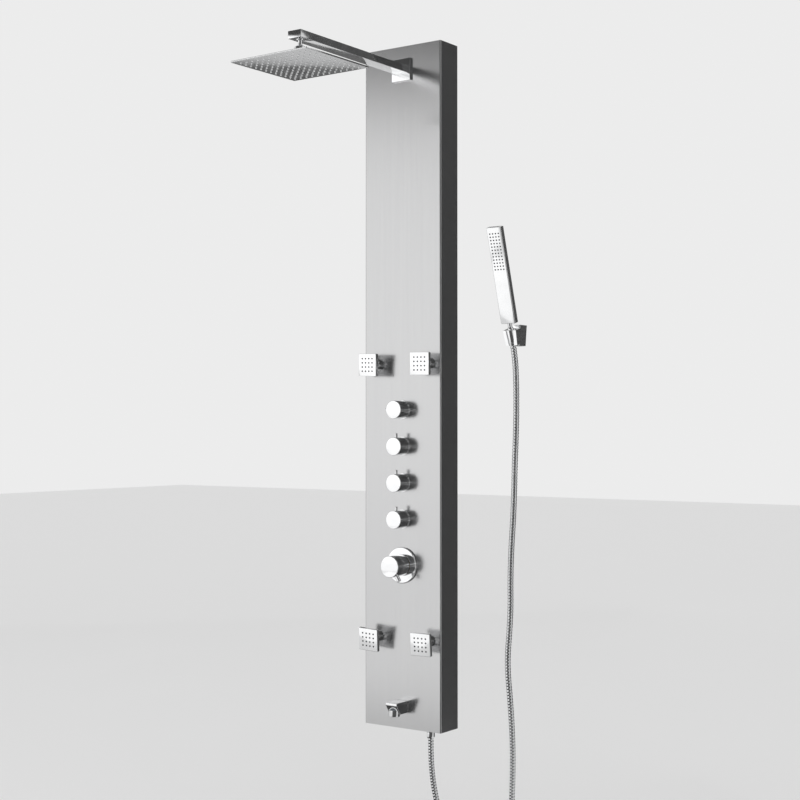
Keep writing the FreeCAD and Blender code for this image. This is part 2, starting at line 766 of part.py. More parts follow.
gallery_head = tray_foot + knob_heights[0] + boss_radius
gallery_foot = mixer_z - mixer_boss_radius
body = bar(gallery_radius, (0, gallery_y, gallery_foot), (0, gallery_y, gallery_head))
water = bar(gallery_bore, (0, gallery_y, mixer_z), (0, gallery_y, gallery_head - gallery_wall))
ports = [(0, 0, 1), (-1, 0, 0), (1, 0, 0), (-1, 0, 0), (1, 0, 0)]
port_rows = [0, 1, 1, 2, 3]
for height in knob_heights:
    z = tray_foot + height
    body = body.fuse(bar(boss_radius, (0, gallery_y, z), (0, inner_y, z)))
    water = water.fuse(hole(headwork_radius, (0, chamber_floor_y, z), (0, inner_y - 1, z)))
    water = water.fuse(bar(seat_hole_radius, (0, gallery_y, z), (0, chamber_floor_y - 1, z)))
port_ends = []
for row, (px, py, pz) in zip(port_rows, ports):
    z = tray_foot + knob_heights[row]
    tip = (px * port_reach, pipe_y, z + pz * port_reach)
    floor = (px * (port_reach - solder_depth), pipe_y, z + pz * (port_reach - solder_depth))
    body = body.fuse(bar(port_radius, (0, pipe_y, z), tip))
    water = water.fuse(bar(port_bore, (0, pipe_y, z), tip))
    past = (px * (port_reach + 1), pipe_y, z + pz * (port_reach + 1))
    water = water.fuse(hole(pipe_radius + solder_play, floor, past))
    port_ends.append(floor)
body = body.fuse(bar(mixer_boss_radius, (0, gallery_y, mixer_z), (0, inner_y, mixer_z), fine_sides))
water = water.fuse(hole(cartridge_radius + bonnet_play, (0, chamber_floor_y, mixer_z), (0, inner_y - 1, mixer_z)))
water = water.fuse(bar(seat_hole_radius, (0, gallery_y, mixer_z), (0, chamber_floor_y - 1, mixer_z)))
inlet_z = gallery_foot - inlet_drop
inlet_tip = manifold_back + inlet_length
manifold_foot = inlet_z - thread_radius - manifold_wall
body = body.fuse(block(-manifold_width / 2, manifold_width / 2, manifold_front, manifold_back,
                       manifold_foot, mixer_z - mixer_boss_radius / 2))
for side in (-0.5, 0.5):
    x = side * inlet_spacing
    riser_x = side * inlet_riser_spacing
    body = body.fuse(rod(thread_radius, (x, manifold_back - 1, inlet_z), (x, inlet_tip, inlet_z)))
    water = water.fuse(bar(thread_bore, (x, inlet_way_y - inlet_way_radius, inlet_z), (x, inlet_tip + 1, inlet_z)))
    water = water.fuse(bar(inlet_way_radius, (x, inlet_way_y, inlet_z), (riser_x, inlet_way_y, inlet_z)))
    water = water.fuse(bar(inlet_way_radius, (riser_x, inlet_way_y, inlet_z), (riser_x, inlet_way_y, mixer_z)))
save("valve_body", body.cut(water))

headworks = []
locknuts = []
rosettes = []
for i, height in enumerate(knob_heights):
    z = tray_foot + height
    bore = hole(spindle_radius + spindle_play, ahead(z, spindle_foot), ahead(z, headwork_reach + 1))
    shell = bar(headwork_radius, (0, chamber_floor_y - headwork_setback, z), ahead(z, headwork_reach))
    headworks.append(shell.cut(bore))
    ring = bar(rosette_radius, ahead(z, 0), ahead(z, rosette_thickness), fine_sides)
    ring = ring.cut(hole(headwork_radius + thread_play, ahead(z, -1), ahead(z, rosette_thickness + 1)))
    rosettes.append(ring)
    locknuts.append(hex_nut(valve_nut_flats, headwork_radius + thread_play, ahead(z, rosette_thickness),
                            ahead(z, rosette_thickness + valve_nut_thickness)))
    hub_back = knob_reach - knob_face_wall - knob_hub_length
    spindle_tip = knob_reach - knob_face_wall - spindle_short
    save("valve_spindle_%d" % (i + 1), bar(spindle_radius, ahead(z, spindle_foot), ahead(z, spindle_tip)))
    knob_back = rosette_thickness + knob_gap
    knob = bar(knob_radius, ahead(z, knob_back), ahead(z, knob_reach), round_sides)
    knob = knob.cut(bar(knob_radius - knob_wall, ahead(z, knob_back - 1), ahead(z, knob_reach - knob_face_wall), fine_sides))
    knob = knob.fuse(bar(knob_hub_radius, ahead(z, hub_back), ahead(z, knob_reach - 1)))
    knob = knob.cut(bar(spindle_radius, ahead(z, hub_back - 1), ahead(z, spindle_tip)))
    side = (-1, 0, 0) if i == 0 else (0, 0, 1)
    lever_y = front_y - knob_reach + knob_lever_setback
    root = knob_radius - lever_depth
    lever = bar(knob_lever_radius, (side[0] * root, lever_y, z + side[2] * root),
                (side[0] * knob_lever_reach, lever_y, z + side[2] * knob_lever_reach))
    save("knob_%d" % (i + 1), knob.cut(lever), lever)
save("valve_headworks", *headworks)
save("valve_locknuts", *locknuts)
save("valve_rosettes", *rosettes)

# ---- mixing valve ----
cartridge = bar(cartridge_radius, (0, chamber_floor_y, mixer_z), ahead(mixer_z, bonnet_reach - bonnet_lip))
cartridge = cartridge.fuse(bar(cartridge_neck_radius, ahead(mixer_z, spindle_foot), ahead(mixer_z, cartridge_reach)))
cartridge = cartridge.cut(hole(mixer_spindle_radius + spindle_play, ahead(mixer_z, spindle_foot), ahead(mixer_z, cartridge_reach + 1)))
save("mixer_cartridge", cartridge)
bonnet = bar(bonnet_radius, (0, inner_y, mixer_z), ahead(mixer_z, bonnet_reach), fine_sides)
bonnet = bonnet.cut(hole(cartridge_radius + bonnet_play, (0, inner_y + 1, mixer_z), ahead(mixer_z, bonnet_reach - bonnet_lip)))
save("mixer_bonnet", bonnet.cut(hole(cartridge_neck_radius + bonnet_play, ahead(mixer_z, 0), ahead(mixer_z, bonnet_reach + 1))))
escutcheon = bar(escutcheon_radius, ahead(mixer_z, 0), ahead(mixer_z, escutcheon_thickness), round_sides)
save("mixer_escutcheon", escutcheon.cut(hole(bonnet_radius + bonnet_play, ahead(mixer_z, -1),
                                             ahead(mixer_z, escutcheon_thickness + 1), fine_sides)))

spindle_tip = handle_reach - handle_wall - spindle_short
save("mixer_spindle", bar(mixer_spindle_radius, ahead(mixer_z, spindle_foot), ahead(mixer_z, spindle_tip)))
handle_back = escutcheon_thickness + handle_gap
handle = bar(handle_radius, ahead(mixer_z, handle_back), ahead(mixer_z, handle_reach), round_sides)
handle = handle.cut(bar(handle_radius - handle_wall, ahead(mixer_z, handle_back - 1),
                        ahead(mixer_z, handle_reach - handle_wall), fine_sides))
hub_back = handle_reach - handle_wall - handle_hub_length
handle = handle.fuse(bar(handle_hub_radius, ahead(mixer_z, hub_back), ahead(mixer_z, handle_reach - 1)))
handle = handle.cut(bar(mixer_spindle_radius, ahead(mixer_z, hub_back - 1), ahead(mixer_z, spindle_tip)))
lever_y = front_y - handle_reach + handle_lever_setback
lever_x = math.cos(math.radians(handle_lever_angle))
lever_z = math.sin(math.radians(handle_lever_angle))
root = handle_radius - lever_depth
lever = bar(handle_lever_radius, (root * lever_x, lever_y, mixer_z + root * lever_z),
            (handle_lever_reach * lever_x, lever_y, mixer_z + handle_lever_reach * lever_z))
save("mixer_handle", handle.cut(lever), lever)

# ---- tub spout and its aerator ----
spout_top = tray_foot + spout_top_height
spout_z = tray_foot + spout_middle
mouth_y = front_y - spout_reach + spout_mouth_setback
mouth_foot = spout_top - spout_mouth_drop
mouth_top = mouth_foot + spout_mouth_depth
profile = [
    (front_y, spout_top - spout_height), (front_y, spout_top), (front_y - spout_reach, spout_top),
    (front_y - spout_reach, spout_top - spout_lip), (front_y - spout_under_reach, spout_top - spout_height),
]
spout = extruded(profile, -spout_width / 2, spout_width / 2)
spout = broken(spout, edge_break, lambda e: e.BoundBox.YMin < front_y - 1)
spout = spout.fuse(bar(spout_mouth_radius, (0, mouth_y, mouth_foot), (0, mouth_y, spout_top - 4), fine_sides))
spout = spout.fuse(tail(0, spout_z))
spout = spout.cut(tail_bore(0, spout_z, thread_bore, spout_reach - spout_mouth_setback))
spout = spout.cut(hole(spout_mouth_bore, (0, mouth_y, mouth_foot - 1), (0, mouth_y, mouth_top), fine_sides))
spout = spout.cut(bar(thread_bore, (0, mouth_y, mouth_foot), (0, mouth_y, spout_z + thread_bore / 2)))
save("spout_body", spout.removeSplitter())
ring_radius = spout_mouth_bore - aerator_play
aerator_foot = mouth_foot + aerator_recess
ring = bar(ring_radius, (0, mouth_y, aerator_foot), (0, mouth_y, mouth_top), fine_sides)
ring = ring.cut(bar(ring_radius - aerator_wall, (0, mouth_y, aerator_foot - 1), (0, mouth_y, mouth_top + 1), fine_sides))
reach = ring_radius - aerator_wall / 2
bars = block(-reach, reach, mouth_y - aerator_bar / 2, mouth_y + aerator_bar / 2, aerator_foot, mouth_top)
bars = bars.fuse(block(-aerator_bar / 2, aerator_bar / 2, mouth_y - reach, mouth_y + reach, aerator_foot, mouth_top))
save("spout_aerator", ring.fuse(bars).removeSplitter())


# ---- nuts, elbows and copper pipes behind the sheet ----
def elbow(x, z, px, pz):
    """A capped brass elbow screwed on a tail, with one solder port along (px, pz)."""
    shape = bar(elbow_radius, (x, elbow_front_y, z), (x, elbow_back_y, z))
    port_tip = (x + px * elbow_port_reach, pipe_y, z + pz * elbow_port_reach)
    port_floor = (x + px * (elbow_port_reach - solder_depth), pipe_y, z + pz * (elbow_port_reach - solder_depth))
    shape = shape.fuse(bar(elbow_port_radius, (x, pipe_y, z), port_tip))
    tail_end = front_y + nipple_length
    shape = shape.cut(hole(thread_radius + thread_play, (x, elbow_front_y - 1, z), (x, tail_end, z)))
    shape = shape.cut(bar(thread_bore, (x, tail_end - 1, z), (x, elbow_back_y - elbow_wall, z)))
    past = (x + px * (elbow_port_reach + 1), pipe_y, z + pz * (elbow_port_reach + 1))
    shape = shape.cut(bar(port_bore, (x, pipe_y, z), port_tip)).cut(hole(pipe_radius + solder_play, port_floor, past))
    return shape, port_floor


tails = [(0, arm_z, 0, -1), (0, spout_z, 0, 1)]
for name, x, height, pan, tilt, roll in jet_places:
    tails.append((x, tray_foot + height, 0, -1 if height == upper_jet_height else 1))
elbows = []
elbow_ends = []
for x, z, px, pz in tails:
    shape, end = elbow(x, z, px, pz)
    elbows.append(shape)
    elbow_ends.append(end)
    nuts.append(hex_nut(nut_flats, thread_radius + thread_play, (x, inner_y, z), (x, inner_y + nut_thickness, z)))
save("tail_nuts", *nuts)
save("pipe_elbows", *elbows)

save("pipe_head", pipe([port_ends[0], elbow_ends[0]]))
corner_z = tray_foot + spout_pipe_level
spout_x = -spout_pipe_x
save("pipe_spout", pipe([port_ends[3], (spout_x, pipe_y, port_ends[3][2]), (spout_x, pipe_y, corner_z),
                         (0, pipe_y, corner_z), elbow_ends[1]]))
for name, port, upper, lower in (("left", 1, 2, 4), ("right", 2, 3, 5)):
    riser_x = elbow_ends[upper][0]
    riser = bar(pipe_radius, elbow_ends[lower], elbow_ends[upper])
    inside = bar(pipe_radius - pipe_wall, elbow_ends[lower], elbow_ends[upper])
    feed_z = port_ends[port][2]
    riser = riser.fuse(bar(pipe_radius, port_ends[port], (riser_x, pipe_y, feed_z)))
    inside = inside.fuse(bar(pipe_radius - pipe_wall, port_ends[port], (riser_x, pipe_y, feed_z)))
    save("pipe_jets_" + name, riser.cut(inside).removeSplitter())

# ---- hand shower's outlet through the tray's underside ----
outlet_top = tray_foot + outlet_tail_length
outlet_low = tray_foot - outlet_nut_depth
fitting = bar(outlet_thread_radius, (outlet_x, outlet_y, outlet_low), (outlet_x, outlet_y, outlet_top))
fitting = fitting.fuse(bar(outlet_flange_radius, (outlet_x, outlet_y, tray_foot - outlet_flange_thickness),
                           (outlet_x, outlet_y, tray_foot), fine_sides))
fitting = fitting.cut(bar(port_bore, (outlet_x, outlet_y, outlet_low - 1), (outlet_x, outlet_y, outlet_top + 1)))
fitting = fitting.cut(hole(pipe_radius + solder_play, (outlet_x, outlet_y, outlet_top - solder_depth),
                          (outlet_x, outlet_y, outlet_top + 1)))
save("hand_outlet", fitting)
save("outlet_locknut", hex_nut(outlet_locknut_flats, outlet_thread_radius + thread_play,
                               (outlet_x, outlet_y, tray_foot + sheet), (outlet_x, outlet_y, tray_foot + sheet + nut_thickness)))
step_top = tray_foot + hand_pipe_level
save("pipe_hand", pipe([port_ends[4], (hand_pipe_x, pipe_y, port_ends[4][2]), (hand_pipe_x, pipe_y, step_top),
                        (outlet_x, outlet_y, step_top - hand_pipe_step), (outlet_x, outlet_y, outlet_top - solder_depth)]))

# ---- hand shower: everything is built along the wand's own leaning axis ----
lean = math.radians(wand_lean)
foot = vec(wand_x, wand_foot[0], tray_foot + wand_foot[1])
along_wand = vec(0, -math.sin(lean), math.cos(lean))
ahead_of_wand = vec(0, -math.cos(lean), -math.sin(lean))


def on_wand(along, forward=0.0, side=0.0):
    """A point by distances up the wand's axis, forward of it and to the right."""
    point = foot + along_wand * along + ahead_of_wand * forward + x_axis * side
    return (point.x, point.y, point.z)


def bar_on_wand(width_low, width_high, back, forward, low, high):
    """A straight-sided bar along the wand, one width at its low end and one at its high end."""
    levels = []
    for along, width in ((low, width_low), (high, width_high)):
        corners = ((back, -1), (forward, -1), (forward, 1), (back, 1))
        levels.append([vec(*on_wand(along, f, s * width / 2)) for f, s in corners])
    return between(levels)


wand_low = cone_nut_length + neck_length
wand_high = wand_low + wand_length
wt = wand_thickness / 2
wand = bar_on_wand(wand_width, wand_width, -wt, wt, wand_low, wand_high)
wand = broken(wand, wand_edge, lambda e: True)
wand = wand.cut(bar_on_wand(wand_width - 2 * wand_wall, wand_width - 2 * wand_wall, -wt + wand_wall, wt - wand_wall,
                            wand_low + wand_wall, wand_high - wand_wall))
wand = wand.fuse(stack(fine_sides, [(wand_neck_foot_radius, on_wand(cone_nut_length)), (wand_neck_radius, on_wand(wand_low + 1))]))
wand = wand.fuse(bar(neck_tail_radius, on_wand(cone_nut_length - neck_tail), on_wand(cone_nut_length + 1)))
wand = wand.cut(bar(wand_bore, on_wand(cone_nut_length - neck_tail - 1), on_wand(wand_low + wand_wall + 1)))
save("wand_body", wand.removeSplitter())

nozzles = []
for row in range(wand_nozzle_rows):
    for column in range(wand_nozzle_columns):
        along = wand_high - wand_first_row - row * wand_nozzle_pitch
        side = (column - (wand_nozzle_columns - 1) / 2) * wand_nozzle_pitch
        nozzles.append(bar(wand_nozzle_radius, on_wand(along, wt, side), on_wand(along, wt + wand_nozzle_proud, side),
                           nozzle_sides))
save("wand_nozzles", *nozzles)

cone_nut = stack(fine_sides, [(cone_nut_foot_radius, on_wand(0)), (cone_nut_top_radius, on_wand(cone_nut_length))])
cone_nut = cone_nut.cut(hole(neck_tail_radius, on_wand(cone_nut_length - neck_tail), on_wand(cone_nut_length + 1)))
save("wand_cone_nut", cone_nut.cut(bar(hose_bore, on_wand(-1), on_wand(cone_nut_length - 1))))

# ---- wall bracket that holds the wand ----
block_foot = tray_foot + block_centre_height - block_height / 2
block_head = block_foot + block_height
levels = []
for z, width in ((block_foot, block_foot_width), (block_head, block_width)):
    corners = ((0, -1), (-block_depth, -1), (-block_depth, 1), (0, 1))
    levels.append([vec(wand_x + s * width / 2, y, z) for y, s in corners])
holder = between(levels)
fork = bar_on_wand(fork_foot_width, fork_top_width, -fork_back, fork_front, fork_start, fork_start + fork_height)
holder = holder.fuse(fork)
slope = (cone_nut_top_radius - cone_nut_foot_radius) / cone_nut_length
play = fork_play * math.sqrt(1 + slope ** 2)
low_reach, high_reach = -5.0, cone_nut_length + 30.0
seat_low = cone_nut_foot_radius + play + slope * low_reach
seat_high = cone_nut_foot_radius + play + slope * high_reach
holder = holder.cut(stack(fine_sides, [(seat_low, on_wand(low_reach)), (seat_high, on_wand(high_reach))]))
plate_z = tray_foot + block_centre_height
plate = block(wand_x - wall_plate_width / 2, wand_x + wall_plate_width / 2, -wall_plate_thickness, 0,
              plate_z - wall_plate_height / 2, plate_z + wall_plate_height / 2)
gap = wall_plate_play
pocket = block(wand_x - wall_plate_width / 2 - gap, wand_x + wall_plate_width / 2 + gap, -block_pocket_depth, 1,
               plate_z - wall_plate_height / 2 - gap, plate_z + wall_plate_height / 2 + gap)
holder = holder.cut(pocket)
save("wand_holder", holder.removeSplitter())
for side in (-0.5, 0.5):
    z = plate_z + side * wall_plate_screw_spacing
    plate = plate.cut(rod(wall_plate_screw_radius, (wand_x, 1, z), (wand_x, -wall_plate_thickness - 1, z)))
save("wand_wall_plate", plate)

# ---- hose and the nut at its panel end ----
outlet_nut = stack(fine_sides, [
    (outlet_nut_radius - edge_break, (outlet_x, outlet_y, tray_foot - outlet_nut_length)),
    (outlet_nut_radius, (outlet_x, outlet_y, tray_foot - outlet_nut_length + edge_break)),
    (outlet_nut_radius, (outlet_x, outlet_y, tray_foot - outlet_flange_thickness - edge_break)),
    (outlet_nut_radius - edge_break, (outlet_x, outlet_y, tray_foot - outlet_flange_thickness))])
outlet_nut = outlet_nut.cut(hole(outlet_thread_radius + thread_play, (outlet_x, outlet_y, outlet_low - 0.5),
                                 (outlet_x, outlet_y, tray_foot)))
save("hose_nut", outlet_nut.cut(bar(hose_bore, (outlet_x, outlet_y, tray_foot - outlet_nut_length - 1),
                                    (outlet_x, outlet_y, tray_foot))))

route = [vec(x, y, tray_foot + height) for x, y, height in hose_route]
runs = [(route[i + 1] - route[i]).Length for i in range(len(route) - 1)]
radii = []
for i in range(1, len(route) - 1):
    back = route[i - 1] - route[i]
    ahead_run = route[i + 1] - route[i]
    half_turn = (math.pi - back.getAngle(ahead_run)) / 2
    radii.append(0.45 * min(runs[i - 1], runs[i]) / math.tan(half_turn))
print("hose radii", [round(r) for r in radii])
print("hose runs", [round(r, 1) for r in runs])
path = rounded_path([(p.x, p.y, p.z) for p in route], radii)

# Ribs follow one another all the way between two plain ends; each is four rings of a ruled loft.
pitch = (path.Length - 2 * hose_plain_end) / hose_ribs
places = [(hose_root_radius, 0.0)]
for i in range(hose_ribs):
    rib = hose_plain_end + i * pitch
    places += [(hose_root_radius, rib + 0.1 * pitch), (hose_radius, rib + 0.35 * pitch),
               (hose_radius, rib + 0.65 * pitch), (hose_root_radius, rib + 0.9 * pitch)]
places.append((hose_root_radius, path.Length))
hose = swept(path, places)
bore = swept(path, bend_places(path, hose_bore, 1))
print("hose length", round(path.Length), "ribs", hose_ribs, "pitch", round(pitch, 2))
save("hose", hose.cut(bore))
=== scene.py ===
import json
import math

import bmesh
import bpy
import numpy as np
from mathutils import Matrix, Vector


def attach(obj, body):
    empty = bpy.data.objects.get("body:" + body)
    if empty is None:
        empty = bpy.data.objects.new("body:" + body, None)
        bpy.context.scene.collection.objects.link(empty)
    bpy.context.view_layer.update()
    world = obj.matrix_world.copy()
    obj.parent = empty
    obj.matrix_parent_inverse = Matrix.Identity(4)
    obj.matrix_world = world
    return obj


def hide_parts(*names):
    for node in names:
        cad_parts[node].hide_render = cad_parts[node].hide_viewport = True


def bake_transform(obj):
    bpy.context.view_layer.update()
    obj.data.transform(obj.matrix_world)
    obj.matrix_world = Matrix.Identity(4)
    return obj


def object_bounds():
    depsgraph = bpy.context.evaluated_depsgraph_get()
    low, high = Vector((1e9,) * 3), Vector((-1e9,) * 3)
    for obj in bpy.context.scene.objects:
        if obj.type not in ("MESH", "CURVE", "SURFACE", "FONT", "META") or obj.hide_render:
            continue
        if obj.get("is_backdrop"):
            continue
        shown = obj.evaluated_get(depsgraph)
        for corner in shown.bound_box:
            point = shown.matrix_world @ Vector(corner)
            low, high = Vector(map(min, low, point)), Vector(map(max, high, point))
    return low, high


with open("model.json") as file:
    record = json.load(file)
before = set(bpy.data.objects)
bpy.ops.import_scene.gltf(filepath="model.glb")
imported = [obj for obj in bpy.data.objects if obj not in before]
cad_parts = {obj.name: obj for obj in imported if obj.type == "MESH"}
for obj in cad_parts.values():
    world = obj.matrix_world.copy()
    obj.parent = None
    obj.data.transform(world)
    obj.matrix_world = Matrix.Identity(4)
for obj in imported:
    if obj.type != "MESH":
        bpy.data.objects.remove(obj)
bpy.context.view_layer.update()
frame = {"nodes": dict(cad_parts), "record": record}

print("frame loaded with", len(frame["nodes"]), "nodes")

# the camera stands where the photograph was taken from
photoView = {
    "place": (1.89536, -2.76917, -0.71882),  # metres
    "turn": (90.866, 0.0, 35.146),           # degrees
    "lens": 66.43,
}
cameraData = bpy.data.cameras.new("photoCamera")
cameraData.lens = photoView["lens"]
cameraData.sensor_width = 36.0
cameraData.clip_end = 60.0
camera = bpy.data.objects.new("photoCamera", cameraData)
camera.location = photoView["place"]
camera.rotation_euler = [math.radians(a) for a in photoView["turn"]]
bpy.context.scene.collection.objects.link(camera)
bpy.context.scene.camera = camera
bpy.context.scene.view_settings.view_transform = "Standard"


# A principled material to build on, with its node tree's pieces.
def startFinish(name, colour, metal, roughness):
    material = bpy.data.materials.new(name)
    material.use_nodes = True
    nodes = material.node_tree.nodes
    shader = nodes["Principled BSDF"]
    shader.inputs["Base Color"].default_value = (*colour, 1.0)
    shader.inputs["Metallic"].default_value = metal
    shader.inputs["Roughness"].default_value = roughness
    return material, nodes, material.node_tree.links, shader


# Noise read in object coordinates, stretched by a scale for each axis.
def addNoise(nodes, links, scale, detail, roughness=0.5):
    place = nodes.new("ShaderNodeTexCoord")
    stretch = nodes.new("ShaderNodeMapping")
    stretch.inputs["Scale"].default_value = np.broadcast_to(scale, 3)
    noise = nodes.new("ShaderNodeTexNoise")
    for name, value in (("Scale", 1.0), ("Detail", detail), ("Roughness", roughness)):
        noise.inputs[name].default_value = value
    links.new(place.outputs["Object"], stretch.inputs["Vector"])
    links.new(stretch.outputs["Vector"], noise.inputs["Vector"])
    return noise.outputs["Fac"]


# A value that runs between low and high as the noise runs through its middle.
def addRange(nodes, links, fac, low, high):
    span = nodes.new("ShaderNodeMapRange")
    for name, value in (("From Min", 0.3), ("From Max", 0.7), ("To Min", low), ("To Max", high)):
        span.inputs[name].default_value = value
    links.new(fac, span.inputs["Value"])
    return span.outputs["Result"]


# Reads a finish's colour, roughness and relief, each from its own noise.
def layFinish(nodes, links, shader, values, tone, dullness, relief):
    ramp = nodes.new("ShaderNodeValToRGB")
    for stop, place, colour in zip(ramp.color_ramp.elements, (0.35, 0.65), (values["dark"], values["pale"])):
        stop.position, stop.color = place, (*colour, 1.0)
    links.new(tone, ramp.inputs["Fac"])
    links.new(ramp.outputs["Color"], shader.inputs["Base Color"])
    links.new(addRange(nodes, links, dullness, *values["roughness"]), shader.inputs["Roughness"])
    bump = nodes.new("ShaderNodeBump")
    bump.inputs["Distance"].default_value = values["depth"]
    bump.inputs["Strength"].default_value = values["strength"]
    links.new(relief, bump.inputs["Height"])
    links.new(bump.outputs["Normal"], shader.inputs["Normal"])


brushed = {
    "dark": (0.533, 0.533, 0.537), "pale": (0.543, 0.543, 0.546),
    "grain": (1500.0, 1500.0, 12.0), "streak": (180.0, 180.0, 2.4),
    "roughness": (0.19, 0.23), "depth": 0.00001, "strength": 0.15,
}


# Brushed steel: long fine grain along z, with broader streaks of tone.
def brushedFinish(name, values):
    material, nodes, links, shader = startFinish(name, values["pale"], 1.0, 0.3)
    grain = addNoise(nodes, links, values["grain"], 3.0, 0.65)
    streak = addNoise(nodes, links, values["streak"], 2.0)
    layFinish(nodes, links, shader, values, streak, grain, grain)
    return material


polish = {
    "dark": (0.82, 0.825, 0.83), "pale": (0.88, 0.885, 0.89), "patch": (26.0, 26.0, 34.0),
    "roughness": (0.05, 0.13), "grain": 60.0, "depth": 0.00002, "strength": 0.12,
}
satin = {
    "dark": (0.62, 0.625, 0.63), "pale": (0.68, 0.685, 0.69), "patch": 30.0,
    "roughness": (0.12, 0.2), "grain": 60.0, "depth": 0.00002, "strength": 0.12,
}
brass = {
    "dark": (0.52, 0.38, 0.17), "pale": (0.76, 0.61, 0.33), "patch": 55.0,
    "roughness": (0.24, 0.42), "grain": (90.0, 1400.0, 90.0), "depth": 0.00005, "strength": 0.35,
}
copper = {
    "dark": (0.55, 0.26, 0.15), "pale": (0.78, 0.45, 0.31), "patch": (40.0, 40.0, 22.0),
    "roughness": (0.22, 0.4), "grain": (700.0, 700.0, 40.0), "depth": 0.00003, "strength": 0.3,
}
plainSteel = {
    "dark": (0.46, 0.47, 0.48), "pale": (0.6, 0.61, 0.62), "patch": (30.0, 30.0, 60.0),
    "roughness": (0.32, 0.46), "grain": 500.0, "depth": 0.00003, "strength": 0.3,
}
hoseSteel = {
    "dark": (0.66, 0.67, 0.68), "pale": (0.76, 0.765, 0.77), "patch": 90.0,
    "roughness": (0.1, 0.2), "grain": 900.0, "depth": 0.00001, "strength": 0.15,
}
seatPlastic = {
    "dark": (0.8, 0.8, 0.77), "pale": (0.9, 0.9, 0.87), "patch": 120.0,
    "roughness": (0.36, 0.48), "grain": 1600.0, "depth": 0.00003, "strength": 0.25,
}
darkPlastic = {
    "dark": (0.16, 0.18, 0.2), "pale": (0.24, 0.26, 0.28), "patch": 120.0,
    "roughness": (0.38, 0.5), "grain": 1600.0, "depth": 0.00003, "strength": 0.25,
}
greyRubber = {
    "dark": (0.05, 0.052, 0.055), "pale": (0.09, 0.092, 0.095), "patch": 400.0,
    "roughness": (0.55, 0.7), "grain": 2600.0, "depth": 0.00002, "strength": 0.3,
}
# pale rubber for the rain head's nozzles: painted highlight, a lit copy of the nozzle rubber that the jets
# and the wand wear dark
paintedHighlightRubber = {
    "dark": (0.78, 0.79, 0.8), "pale": (0.9, 0.9, 0.9), "patch": 400.0,
    "roughness": (0.45, 0.6), "grain": 2600.0, "depth": 0.00002, "strength": 0.3,
}


# Tone and roughness change together in patches, over a finer relief.
def patchedFinish(name, values, metal, roughness, detail, breakUp, fineDetail=2.0):
    material, nodes, links, shader = startFinish(name, values["pale"], metal, roughness)
    patch = addNoise(nodes, links, values["patch"], detail, breakUp)
    grain = addNoise(nodes, links, values["grain"], fineDetail)
    layFinish(nodes, links, shader, values, patch, patch, grain)
    return material


# metal, plain roughness, the patches' detail and break-up, and the relief's detail where it isn't 2
mirror = (1.0, 0.08, 5.0, 0.6, 1.0)    # with the faint smears and water marks that a wiped fitting has
bareMetal = (1.0, 0.3, 4.0, 0.6)       # turned or drawn, with a dull film
moulded = (0.0, 0.45, 3.0, 0.5)        # plastic and rubber with a fine skin
finishes = {
    "brushed_tray": brushedFinish("brushedTray", brushed),
    "plain_steel": patchedFinish("plainSteel", plainSteel, *bareMetal),
    "polished_chrome": patchedFinish("polishedChrome", polish, *mirror),
    "bare_brass": patchedFinish("bareBrass", brass, *bareMetal),
    "copper_tube": patchedFinish("copperTube", copper, *bareMetal),
    "seat_plastic": patchedFinish("seatPlastic", seatPlastic, *moulded),
    "cartridge_plastic": patchedFinish("cartridgePlastic", darkPlastic, *moulded),
    "nozzle_rubber": patchedFinish("nozzleRubber", greyRubber, *moulded),
    "hose_steel": patchedFinish("hoseSteel", hoseSteel, *bareMetal),
}
# the head's nozzles get the pale copy of the nozzle rubber, a painted highlight
headNozzleRubberPaintedHighlight = patchedFinish("headNozzleRubberPaintedHighlight", paintedHighlightRubber, *moulded)
# a dark copy of the seat plastic for the aerator: painted shade for the dark inside of the spout's mouth
aeratorPaintedShadePlastic = patchedFinish("aeratorPaintedShadePlastic", darkPlastic, *moulded)
satinSteel = patchedFinish("satinSteel", satin, *mirror)
for part in frame["record"]["subparts"]:
    node = frame["nodes"][part["node"]]
    node.data.materials.clear()
    node.data.materials.append(finishes[part["material_slot"]])
print("finishes on", len(frame["nodes"]), "nodes")

# all sizes from here to the stage are in millimetres
xAxis, yAxis, zAxis = np.eye(3)


# A skin is a grid of points with the kind of its ends. Its columns run round it and close, and its rows
# go from end to end. Flat ends get one face each, and open ends none.
def buildPiece(name, skins, body, slotName, replaced, finish=None, sharpAt=32.0):
    points, faces, start = [], [], 0
    for grid, ends in skins:
        rows, columns = grid.shape[:2]
        i = np.arange(rows - 1)[:, None]
        j = np.arange(columns)[None, :]
        nextRow, nextColumn = i + 1, (j + 1) % columns
        quads = np.stack([i * columns + j, i * columns + nextColumn, nextRow * columns + nextColumn,
                          nextRow * columns + j], axis=-1).reshape(-1, 4) + start
        faces += quads.tolist()
        if ends == "flat":
            faces.append((start + np.arange(columns)[::-1]).tolist())
            faces.append((start + (rows - 1) * columns + np.arange(columns)).tolist())
        points.append(grid.reshape(-1, 3))
        start += rows * columns
    mesh = bpy.data.meshes.new(name)
    mesh.from_pydata((np.concatenate(points) * 0.001).tolist(), [], faces)
    shell = bmesh.new()
    shell.from_mesh(mesh)
    bmesh.ops.remove_doubles(shell, verts=shell.verts, dist=2e-6)
    bmesh.ops.recalc_face_normals(shell, faces=shell.faces)
    shell.to_mesh(mesh)
    shell.free()
    mesh.polygons.foreach_set("use_smooth", np.ones(len(mesh.polygons), bool))
    mesh.set_sharp_from_angle(angle=math.radians(sharpAt))
    mesh.materials.append(finish or finishes[slotName])
    piece = bpy.data.objects.new(name, mesh)
    bpy.context.scene.collection.objects.link(piece)
    if body:
        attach(piece, body)
    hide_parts(*replaced)
    return piece


